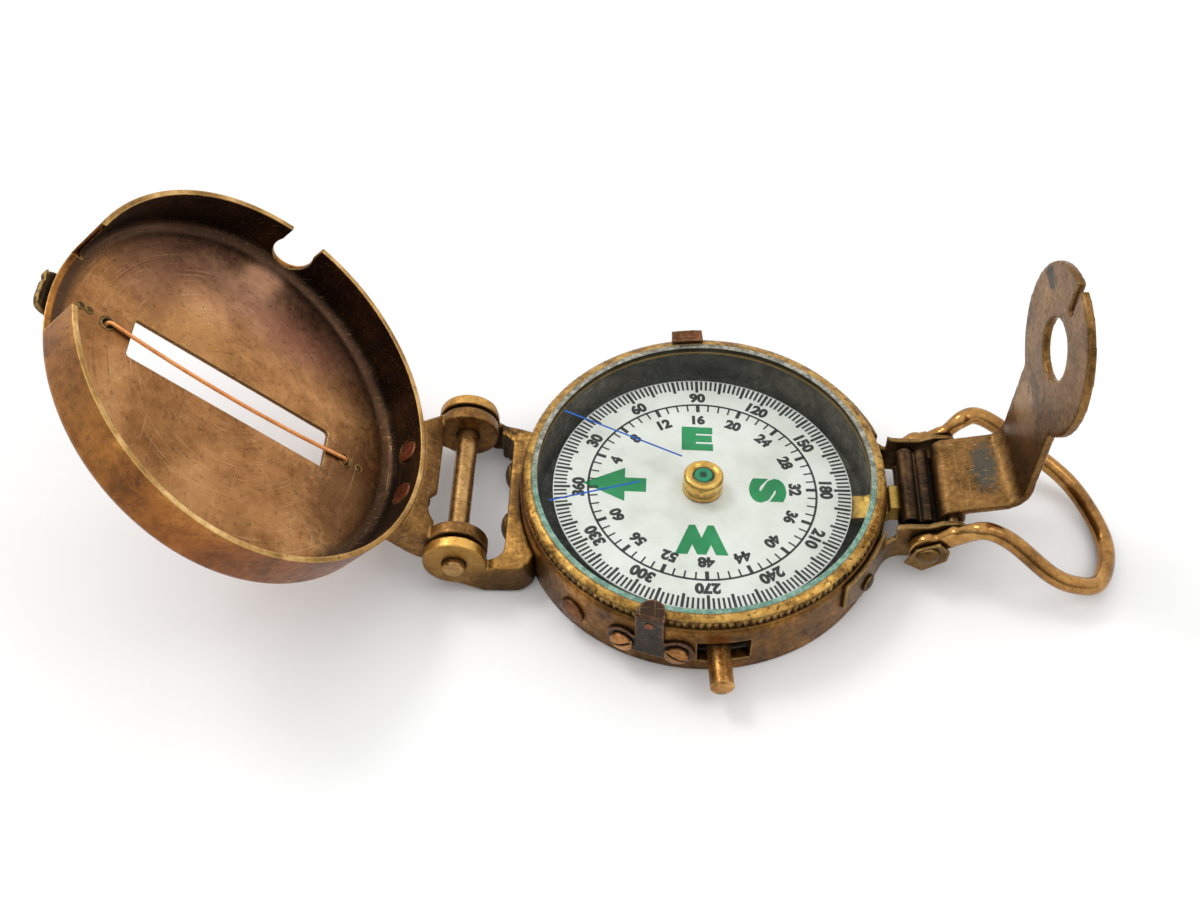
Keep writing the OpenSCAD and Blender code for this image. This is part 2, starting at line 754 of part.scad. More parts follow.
loop_side = lug_in + lug_t / 2;
loop_path = [
  loop_at(0.08, -loop_side, loop_z + 1.7), loop_at(0.15, -loop_side - 0.4, loop_z + 3.6),
  loop_at(0.24, -loop_side - 0.9, loop_z + 5.6), loop_at(0.32, -loop_side - 1.1, loop_z + 5.3),
  loop_at(0.43, -loop_side - 2.1, loop_z + 3.8), loop_at(0.62, -loop_side - 4.9, 6.6),
  loop_at(0.76, -loop_side - 5.4, 4.7), loop_at(0.9, -loop_side - 3.6, 2.8),
  loop_at(0.985, 2.4 - loop_side, 1.6), loop_at(0.965, loop_side - 11.2, 1.8),
  loop_at(0.83, loop_side - 4.2, 3.6), loop_at(0.58, loop_side + 0.3, 7.1),
  loop_at(0.42, loop_side + 2, loop_z + 3.7), loop_at(0.31, loop_side + 2.4, loop_z + 5.2),
  loop_at(0.23, loop_side + 1.3, loop_z + 5.5), loop_at(0.15, loop_side + 0.4, loop_z + 3.6),
  loop_at(0.08, loop_side, loop_z + 1.7)
];
loop_steps = 7;
loop_last = len(loop_path) - 1;
loop_count = loop_last * loop_steps;
loop_up = unit([sin(24), 0, cos(24)]);
loop_lug = [loop_x + 0.13 * loop_reach, loop_z + 3.1];

function unit(v) = v / norm(v);
function path_end(i) = loop_path[max(0, min(loop_last, i))];
function curve(a, b, c, d, t) = 0.5 * (2 * b + (c - a) * t + (2 * a - 5 * b + 4 * c - d) * t * t
  + (3 * b - a - 3 * c + d) * t * t * t);
function loop_point(k) = let (i = min(floor(k / loop_steps), loop_last - 1),
  t = k / loop_steps - i) curve(path_end(i - 1), path_end(i), path_end(i + 1), path_end(i + 2), t);
function end_blend(k) = min(1, min(k, loop_count - k) / (2 * loop_steps));

// One closed skin round a line of points; sizes holds the half width and half height at each
module tube(points, sizes, up, sides) {
  last = len(points) - 1;
  skin = [for (k = [0 : last]) let (
    t = unit(points[min(last, k + 1)] - points[max(0, k - 1)]),
    side = unit(cross(t, up)), rise = cross(side, t))
    for (j = [0 : sides - 1]) let (a = 360 * j / sides)
      points[k] + sizes[k][0] * cos(a) * side + sizes[k][1] * sin(a) * rise];
  walls = [for (k = [0 : last - 1], j = [0 : sides - 1])
    let (a = k * sides + j, b = k * sides + (j + 1) % sides) [a, b, b + sides, a + sides]];
  start = [for (j = [sides - 1 : -1 : 0]) j];
  end = [for (j = [0 : sides - 1]) last * sides + j];
  polyhedron(points = skin, faces = concat([start], walls, [end]), convexity = 8);
}

module loop_wire() {
  tube([for (k = [0 : loop_count]) loop_point(k)],
    [for (k = [0 : loop_count]) let (e = end_blend(k))
      [lug_t / 2 + (loop_r - lug_t / 2) * e, loop_r * (1.15 - 0.15 * e)]],
    loop_up, 20);
}

module thumb_loop() {
  color("#b98b45") {
    for (s = [-1, 1]) along_y(s * loop_side, lug_t / 2) difference() {
      union() {
        translate([loop_x, loop_z]) circle(2.9);
        bar2d([loop_x, loop_z], loop_lug, 3.3);
      }
      translate([loop_x, loop_z]) circle(1 + run_fit);
    }
    loop_wire();
  }
}

module loop_washers() {
  color("#7f6136") for (s = [-1, 1]) along_y(s * (lug_in + lug_t + 0.52), 0.25)
    translate([loop_x, loop_z]) difference() {
      polygon([[-3.4, -2.3], [-0.5, -4.2], [3, -1.6], [3.2, 0.5], [1.4, 2.5], [-2, 0.9]]);
      circle(1 + fit);
    }
}

module loop_screws() {
  head = lug_in + lug_t + 0.79;
  color("#a07a3f") for (s = [-1, 1]) translate([loop_x, 0, loop_z]) rotate([s * -90, 0, 0]) {
    translate([0, 0, cheek_in - 0.2]) cylinder(r = 1, h = head - cheek_in + 0.3);
    translate([0, 0, head]) cylinder(r = 1.7, h = 0.3);
    translate([0, 0, head + 0.3]) dome(1.7, 0.7);
  }
}

// Clips on the wall that hold the bezel down

module wall_plate(angle, half_w, low, high) {
  half = asin(half_w / clip_out);
  rotate([0, 0, angle - half]) rotate_extrude(angle = 2 * half, $fn = 180)
    translate([clip_in, low]) square([clip_t, high - low]);
}

module front_clip() {
  top = glass_top + 0.1;
  lap = 3.4;
  tab = 2.1;
  color("#4c4038") difference() {
    union() {
      intersection() {
        wall_plate(clip_ang, 8, clip_z - 3.5, top + clip_t - 0.12);
        rotate([0, 0, clip_ang]) translate([20, 0, clip_z]) rotate([0, 90, 0])
          linear_extrude(12) front_outline(tab + 0.1);
      }
      rotate([0, 0, clip_ang]) translate([clip_out - lap + tab, 0, top]) linear_extrude(clip_t) {
        intersection() {
          translate([0, -tab]) square([lap - tab, 2 * tab]);
          translate([lap - tab - clip_out, 0]) circle(clip_out - 0.2);
        }
        intersection() {
          circle(tab);
          translate([-tab, -tab]) square([tab + 0.3, 2 * tab]);
        }
      }
    }
    for (a = [-clip_side, clip_side]) on_wall(clip_ang + a, case_r - 1, clip_z)
      cylinder(r = 0.9 + fit, h = 4);
    on_wall(clip_ang, case_r - 1, boss_z) cylinder(r = 0.6 + fit, h = 4);
  }
}

// Outline of the plate seen from outside: an upright strip with an ear for each screw
module front_outline(half) {
  for (s = [-1, 1]) translate([0, s * clip_side * clip_out * PI / 180]) circle(2.5);
  square([3.6, 8.6], center = true);
  translate([-20, -half]) square([21.6, 2 * half]);
}

module clip_screws() {
  color("#a8793c") for (a = [-clip_side, clip_side]) on_wall(clip_ang + a, case_in, clip_z)
    difference() {
      union() {
        cylinder(r = 0.9, h = clip_out - case_in + 0.1);
        translate([0, 0, clip_out - case_in + 0.05]) cylinder(r = 1.8, h = 0.6);
        translate([0, 0, clip_out - case_in + 0.65]) dome(1.8, 0.45);
      }
      translate([0, 0, clip_out - case_in + 0.9]) rotate([0, 0, a > 0 ? 62 : 118])
        cube([6, 0.45, 1.1], center = true);
    }
}

module clip_rivet() {
  color("#a4593a") on_wall(clip_ang, clip_in, boss_z)
    cylinder(r = 0.6, h = clip_t + 0.12);
}

module back_clip() {
  top = glass_top + 0.1;
  color("#8c5a3a") difference() {
    union() {
      wall_plate(back_ang, 2.5, 2.2, top + clip_t);
      rotate([0, 0, back_ang]) translate([clip_out - 2.4, -2.5, top]) cube([2.2, 5, clip_t]);
    }
    on_wall(back_ang, case_r - 1, clip_z) cylinder(r = 0.9 + fit, h = 4);
  }
}

module back_clip_rivet() {
  color("#a4593a") on_wall(back_ang, case_in, clip_z) {
    cylinder(r = 0.9, h = clip_out - case_in + fit);
    translate([0, 0, clip_out - case_in + fit]) dome(1.7, 0.6);
  }
}

// Lock pin in the wall slot, and the lever that lifts the card

module lock_pin() {
  color("#a9823c") on_wall(lock_ang, case_in - 2.2, slot_z) {
    cylinder(r = lock_r, h = case_r + 6 - case_in + 2.2);
    translate([0, 0, case_r + 6 - case_in + 2.2])
      cylinder(r1 = lock_r, r2 = lock_r - 0.25, h = 0.25);
  }
}

module lock_shoe() {
  low = slot_z - 2.2;
  color("#8a6a35") difference() {
    rotate([0, 0, lock_ang - 10]) rotate_extrude(angle = 20)
      translate([case_in - 2.2, low]) square([1.55, 4.3]);
    on_wall(lock_ang, case_in - 6, slot_z) cylinder(r = lock_r + fit, h = 8);
  }
}

module card_lifter() {
  low = 2.95;
  lever_t = 0.65;
  color("#bd9546") difference() {
    union() {
      along_y(lift_y, lift_w / 2) polygon([
        [5, low], [21.4, low], [23, 3.4], [lift_x + 1.2, 4.1], [lift_x + 1.6, 4.4],
        [case_r + 2, 4.4], [case_r + 2, 7.5], [case_r + 0.5, 7.5], [case_r + 0.3, 6.2],
        [lift_x, 6.2], [case_in - 0.9, 4.9], [22.6, 4.7], [21.4, low + lever_t], [5, low + lever_t]
      ]);
      translate([0, 0, low]) cylinder(r = 3.2, h = lever_t);
      translate([0, -1.2, low]) cube([5.5, 2.2, lever_t]);
    }
    translate([0, 0, 2]) cylinder(r = 1.5, h = 4);
    along_y(lift_y, 6) translate([lift_x, lift_z]) circle(0.4 + run_fit);
  }
}

module lifter_pivot() {
  color("#9c7a40") along_y(lift_y, lift_w / 2 + 0.9) translate([lift_x, lift_z]) circle(0.4);
}

case_cup();
chamber_liner();
chamber_floor();
pivot_post();
compass_card();
card_magnets();
pivot_cap();
cap_jewel();
bezel_ring();
glass();
glass_ring();
case_hinge_bracket();
case_bracket_rivets();
hinge_pin();
lid_shell();
lid_hinge_bracket();
lid_bracket_rivets();
lid_catch();
catch_rivets();
sighting_wire();
wire_eyelets();
lid_plug();
lens_bracket();
lens_bracket_rivets();
lens_spring();
spring_rivet();
lens_pin();
lens_arm();
thumb_loop();
loop_washers();
loop_screws();
front_clip();
clip_screws();
clip_rivet();
back_clip();
back_clip_rivet();
case_rivet();
lock_pin();
lock_shoe();
card_lifter();
lifter_pivot();
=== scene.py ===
import json
import math

import bmesh
import bpy
from mathutils import Euler, Matrix, Vector


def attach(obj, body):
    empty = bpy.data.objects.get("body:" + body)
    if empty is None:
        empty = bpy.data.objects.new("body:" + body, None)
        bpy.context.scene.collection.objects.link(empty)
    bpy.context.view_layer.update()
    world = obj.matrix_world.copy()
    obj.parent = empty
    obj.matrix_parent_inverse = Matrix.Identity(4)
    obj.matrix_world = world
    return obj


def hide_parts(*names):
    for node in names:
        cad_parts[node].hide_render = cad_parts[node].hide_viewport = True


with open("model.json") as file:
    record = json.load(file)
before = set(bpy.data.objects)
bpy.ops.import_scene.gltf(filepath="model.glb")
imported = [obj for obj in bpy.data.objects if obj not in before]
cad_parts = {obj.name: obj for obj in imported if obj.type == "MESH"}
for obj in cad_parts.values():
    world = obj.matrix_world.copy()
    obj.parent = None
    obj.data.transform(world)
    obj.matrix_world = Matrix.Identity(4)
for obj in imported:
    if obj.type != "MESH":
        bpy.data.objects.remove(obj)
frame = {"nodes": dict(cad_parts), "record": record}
nodes = frame["nodes"]
bodyOf = {node: body for body, held in frame["record"]["behaviour"]["bodies"].items()
          for node in held}
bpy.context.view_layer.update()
print("frame loaded:", len(nodes), "nodes")

mm = 0.001

# camera at the photograph's viewing angle, fitted to the circles of case, glass, lid and hinge
photoCamera = {
    "place": (-7.64, -154.44, 203.84),      # mm
    "azimuth": 3.044,
    "elevation": 50.455,
    "roll": -1.547,
    "lens": 47.96,
    "sensor": 36.0,
    "nearest": 10,          # mm
}


def placeCamera(look):
    az, el, roll = (math.radians(look[k]) for k in ("azimuth", "elevation", "roll"))
    back = Vector((math.sin(az) * math.cos(el), -math.cos(az) * math.cos(el), math.sin(el)))
    right = Vector((math.cos(az), math.sin(az), 0))
    up = back.cross(right)
    side = right * math.cos(roll) + up * math.sin(roll)
    rise = up * math.cos(roll) - right * math.sin(roll)
    data = bpy.data.cameras.new("photoCamera")
    data.lens = look["lens"]
    data.sensor_width = look["sensor"]
    data.sensor_fit = "HORIZONTAL"
    data.clip_start = look["nearest"] * mm
    camera = bpy.data.objects.new("photoCamera", data)
    bpy.context.scene.collection.objects.link(camera)
    turn = Matrix((side, rise, back)).transposed().to_4x4()
    camera.matrix_world = Matrix.Translation(Vector(look["place"]) * mm) @ turn
    bpy.context.scene.camera = camera


placeCamera(photoCamera)


# small helpers for shader nodes: a value may be a number, a colour or another node's socket
def put(tree, value, socket):
    if isinstance(value, bpy.types.NodeSocket):
        tree.links.new(value, socket)
    elif socket.type == "RGBA" and len(value) == 3:
        socket.default_value = (*value, 1)
    else:
        socket.default_value = value


def add(tree, kind, values=(), **settings):
    item = tree.nodes.new(kind)
    for key, value in settings.items():
        setattr(item, key, value)
    for key, value in dict(values).items():
        put(tree, value, item.inputs[key])
    return item


def work(tree, operation, *values):
    return add(tree, "ShaderNodeMath", enumerate(values), operation=operation).outputs[0]


def plus(tree, value, other, times):
    return work(tree, "ADD", value, work(tree, "MULTIPLY", other, times))


def remap(tree, value, low, high, lowOut=0.0, highOut=1.0):
    values = {0: value, 1: low, 2: high, 3: lowOut, 4: highOut}
    return add(tree, "ShaderNodeMapRange", values).outputs[0]


def within(tree, value, low, high, soft=0.1):
    rise = remap(tree, value, low - soft, low + soft)
    fall = remap(tree, value, high - soft, high + soft, 1.0, 0.0)
    return work(tree, "MULTIPLY", rise, fall)


def blendValue(tree, share, low, high):
    linked = isinstance(share, bpy.types.NodeSocket)
    rest = work(tree, "SUBTRACT", 1.0, share) if linked else 1 - share
    return plus(tree, work(tree, "MULTIPLY", low, rest), high, share)


def blendColour(tree, share, low, high, mode="MIX"):
    item = add(tree, "ShaderNodeMix", data_type="RGBA", blend_type=mode)
    for k, value in zip((0, 6, 7), (share, low, high)):    # the node's factor and its two colours
        put(tree, value, item.inputs[k])
    return item.outputs[2]


def ramp(tree, value, stops):
    item = add(tree, "ShaderNodeValToRGB", {0: value})
    while len(item.color_ramp.elements) < len(stops):
        item.color_ramp.elements.new(0.5)
    for element, (place, colour) in zip(item.color_ramp.elements, stops):
        element.position = place
        element.color = (*colour, 1)
    return item.outputs[0]


def noise(tree, coords, scale, detail=4.0, rough=0.6, stretch=(1, 1, 1), turn=(0, 0, 0), shift=0.0):
    place = add(tree, "ShaderNodeMapping", {0: coords, 1: (shift,) * 3, 2: turn, 3: stretch})
    values = {"Vector": place.outputs[0], "Scale": scale, "Detail": detail, "Roughness": rough}
    return add(tree, "ShaderNodeTexNoise", values).outputs[0]


# pale floor and soft studio light
studio = {
    "floorSize": 20.0,      # metres
    "floorDrop": 0.03,      # mm, so that the floor doesn't flicker through what lies on it
    "floorColour": (0.93, 0.93, 0.93, 1),
    "floorRough": 0.95,
    "floorGloss": 0.1,
    "skyLean": (0.2, 0.4, 0.85),    # the sky is brightest above and behind, darkest behind the camera
    "skySpan": (-0.35, 0.85),
    "sky": [(0.0, (0.16, 0.16, 0.165)), (0.25, (0.3, 0.3, 0.3)), (0.62, (1.0, 1.0, 1.0)),
            (1.0, (1.1, 1.1, 1.1))],
    "skyStrength": 1.07,
    "lights": [  # name, place and size in metres, power in watts
        ("keyLight", (-0.45, 0.35, 0.75), 0.24, 1.75),
        ("fillLight", (0.5, -0.1, 0.8), 0.3, 0.5),
    ],
}


def buildStudio(look):
    bpy.context.scene.view_settings.view_transform = "Standard"
    bpy.ops.mesh.primitive_plane_add(size=look["floorSize"], location=(0, 0, -look["floorDrop"] * mm))
    floor = bpy.context.object
    floor.name = "paleFloor"
    mat = bpy.data.materials.new("paleFloor")
    mat.use_nodes = True
    shader = mat.node_tree.nodes["Principled BSDF"]
    shader.inputs["Base Color"].default_value = look["floorColour"]
    shader.inputs["Roughness"].default_value = look["floorRough"]
    shader.inputs["Specular IOR Level"].default_value = look["floorGloss"]
    floor.data.materials.append(mat)
    world = bpy.data.worlds.new("studioSky")
    bpy.context.scene.world = world
    world.use_nodes = True
    tree = world.node_tree
    values = {0: add(tree, "ShaderNodeTexCoord").outputs["Generated"], 1: look["skyLean"]}
    lean = add(tree, "ShaderNodeVectorMath", values, operation="DOT_PRODUCT").outputs["Value"]
    sky = ramp(tree, remap(tree, lean, *look["skySpan"]), look["sky"])
    put(tree, sky, tree.nodes["Background"].inputs["Color"])
    tree.nodes["Background"].inputs["Strength"].default_value = look["skyStrength"]
    for name, place, size, power in look["lights"]:
        data = bpy.data.lights.new(name, "AREA")
        data.size = size
        data.energy = power
        lamp = bpy.data.objects.new(name, data)
        lamp.location = place
        lamp.rotation_euler = Vector(place).to_track_quat("Z", "Y").to_euler()
        bpy.context.scene.collection.objects.link(lamp)


buildStudio(studio)
print("studio ready")

# how an old metal surface is worn: patches of patina, grain, pits, scratches, bright edges; with painted
# shade in corners and creases, and on some metals on upright faces
plainWear = {
    "patch": 0.16,          # noise per mm, as grain and pitSize
    "grain": 1.1,
    "share": 0.5,           # of the grain in the colour
    "pits": 0.5,
    "pitSize": 2.2,
    "pitColour": (0.02, 0.012, 0.007),
    "scratch": 0.35,
    "scratchTurn": (0.3, 0.2, 0.5),
    "scratchColour": (0.62, 0.42, 0.19),
    "edge": 0.6,
    "edgeColour": (0.72, 0.46, 0.17),
    "edgeWidth": 0.35,      # mm
    # painted shade in corners and creases: how much, and its colour
    "dirt": 0.75,
    "cornerShadeColour": (0.012, 0.008, 0.005),
    "rough": (0.3, 0.55),
    "metal": 0.9,
    "bump": 0.05,           # mm
    "sides": None,          # painted shade: colour multiplied into upright faces, against those that look up
    "stainsAndLight": [],           # real stain marks and painted patches of highlight and shade: place in mm, half size each way, colour, share
}

# how the marks are drawn; a span is the value at which a mark begins and the one at which it is full
marks = {
    "stainsAndLightNoise": 0.7,              # per mm
    "stainsAndLightRagged": 1.8,
    "stainsAndLightSpan": (2.0, 1.45),       # of the ragged distance from its middle, in half sizes
    "uprightRagged": 0.4,
    "uprightSpan": (0.9, 0.45),     # of how far a face looks up, for the painted shade on upright faces
    "pitSpan": (0.6, 0.68),
    "scratchLines": [((0.12, 5, 5), 3), ((6, 0.1, 4), 11)],     # stretch and shift of each set's noise
    "scratchSpan": (0.66, 0.74),
    "edgeSpan": (0.995, 0.88),      # of how well the rounded and the flat normal agree
    "rubSpan": (0.38, 0.56),
    "rubLeast": 0.25,
    "rubMost": 1.5,                 # times the finish's edge
    # painted shade in corners and creases, found by the open air round a point; the shaded spots are also
    # made rougher
    "cornerReach": 1.6,             # mm
    "cornerSpan": (0.85, 0.3),      # of the open air round a point
    "cornerShadeRough": 0.3,
    "roughSpan": (0.35, 0.65),
    "bumpStrength": 0.6,
}


def startFinish(name):
    mat = bpy.data.materials.new(name)
    mat.use_nodes = True
    tree = mat.node_tree
    place = add(tree, "ShaderNodeTexCoord").outputs["Object"]
    coords = add(tree, "ShaderNodeMapping", {0: place, 3: (1 / mm,) * 3}).outputs[0]
    return mat, tree, tree.nodes["Principled BSDF"], coords


# blends in real stain marks and painted patches of highlight and shade round the given places
def stainsAndLightInto(tree, coords, colour, stainsAndLight):
    rough = noise(tree, coords, marks["stainsAndLightNoise"], detail=6, rough=0.7, shift=23)
    for place, size, tint, share in stainsAndLight:
        shrink = [1 / s for s in size]
        move = [-p / s for p, s in zip(place, size)]
        here = add(tree, "ShaderNodeMapping", {0: coords, 1: move, 3: shrink}).outputs[0]
        far = add(tree, "ShaderNodeVectorMath", {0: here}, operation="LENGTH").outputs["Value"]
        ragged = plus(tree, far, rough, marks["stainsAndLightRagged"])
        colour = blendColour(tree, remap(tree, ragged, *marks["stainsAndLightSpan"], 0, share), colour, tint)
    return colour


def wearInto(tree, shader, coords, colour, look):
    fine = noise(tree, coords, look["grain"], detail=8, rough=0.7, shift=7)
    colour = stainsAndLightInto(tree, coords, colour, look["stainsAndLight"])
    # painted shade: upright faces are made darker than those that look up
    if look["sides"]:
        facing = add(tree, "ShaderNodeTexCoord").outputs["Normal"]
        up = add(tree, "ShaderNodeSeparateXYZ", {0: facing}).outputs[2]
        upright = remap(tree, plus(tree, up, fine, marks["uprightRagged"]), *marks["uprightSpan"])
        colour = blendColour(tree, upright, colour, look["sides"], "MULTIPLY")
    if look["pits"]:
        spots = noise(tree, coords, look["pitSize"], detail=3, rough=0.55, shift=19)
        share = remap(tree, spots, *marks["pitSpan"], 0, look["pits"])
        colour = blendColour(tree, share, colour, look["pitColour"])
    if look["scratch"]:
        turn = look["scratchTurn"]
        lines = [noise(tree, coords, 1.0, detail=2, rough=0.5, stretch=stretch, turn=turn, shift=shift)
                 for stretch, shift in marks["scratchLines"]]
        share = remap(tree, work(tree, "MAXIMUM", *lines), *marks["scratchSpan"], 0, look["scratch"])
        colour = blendColour(tree, share, colour, look["scratchColour"])
    # an edge is bright where the normal, rounded over the edge's width, leaves the flat one
    values = {"Radius": look["edgeWidth"] * mm}
    rounded = add(tree, "ShaderNodeBevel", values, samples=4).outputs[0]
    values = {0: rounded, 1: add(tree, "ShaderNodeNewGeometry").outputs["Normal"]}
    same = add(tree, "ShaderNodeVectorMath", values, operation="DOT_PRODUCT").outputs["Value"]
    rubbed = remap(tree, fine, *marks["rubSpan"], marks["rubLeast"], look["edge"] * marks["rubMost"])
    bare = work(tree, "MULTIPLY", remap(tree, same, *marks["edgeSpan"]), rubbed)
    colour = blendColour(tree, bare, colour, look["edgeColour"])
    # painted shade in corners and creases: darker and rougher where the ambient occlusion finds little
    # open air
    values = {"Distance": marks["cornerReach"] * mm}
    near = add(tree, "ShaderNodeAmbientOcclusion", values, samples=4).outputs["AO"]
    cornerShadeShare = remap(tree, near, *marks["cornerSpan"], 0, look["dirt"])
    colour = blendColour(tree, cornerShadeShare, colour, look["cornerShadeColour"])
    put(tree, colour, shader.inputs["Base Color"])
    rough = remap(tree, fine, *marks["roughSpan"], *look["rough"])
    put(tree, plus(tree, rough, cornerShadeShare, marks["cornerShadeRough"]), shader.inputs["Roughness"])
    shader.inputs["Metallic"].default_value = look["metal"]
    values = {"Strength": marks["bumpStrength"], "Distance": look["bump"] * mm, "Height": fine,
              "Normal": rounded}
    put(tree, add(tree, "ShaderNodeBump", values).outputs[0], shader.inputs["Normal"])


def metalFinish(name, changes):
    look = {**plainWear, **changes}
    mat, tree, shader, coords = startFinish(name)
    big = noise(tree, coords, look["patch"])
    fine = noise(tree, coords, look["grain"], detail=7, rough=0.72, shift=31)
    colour = ramp(tree, blendValue(tree, look["share"], big, fine), look["tones"])
    wearInto(tree, shader, coords, colour, look)
    return mat


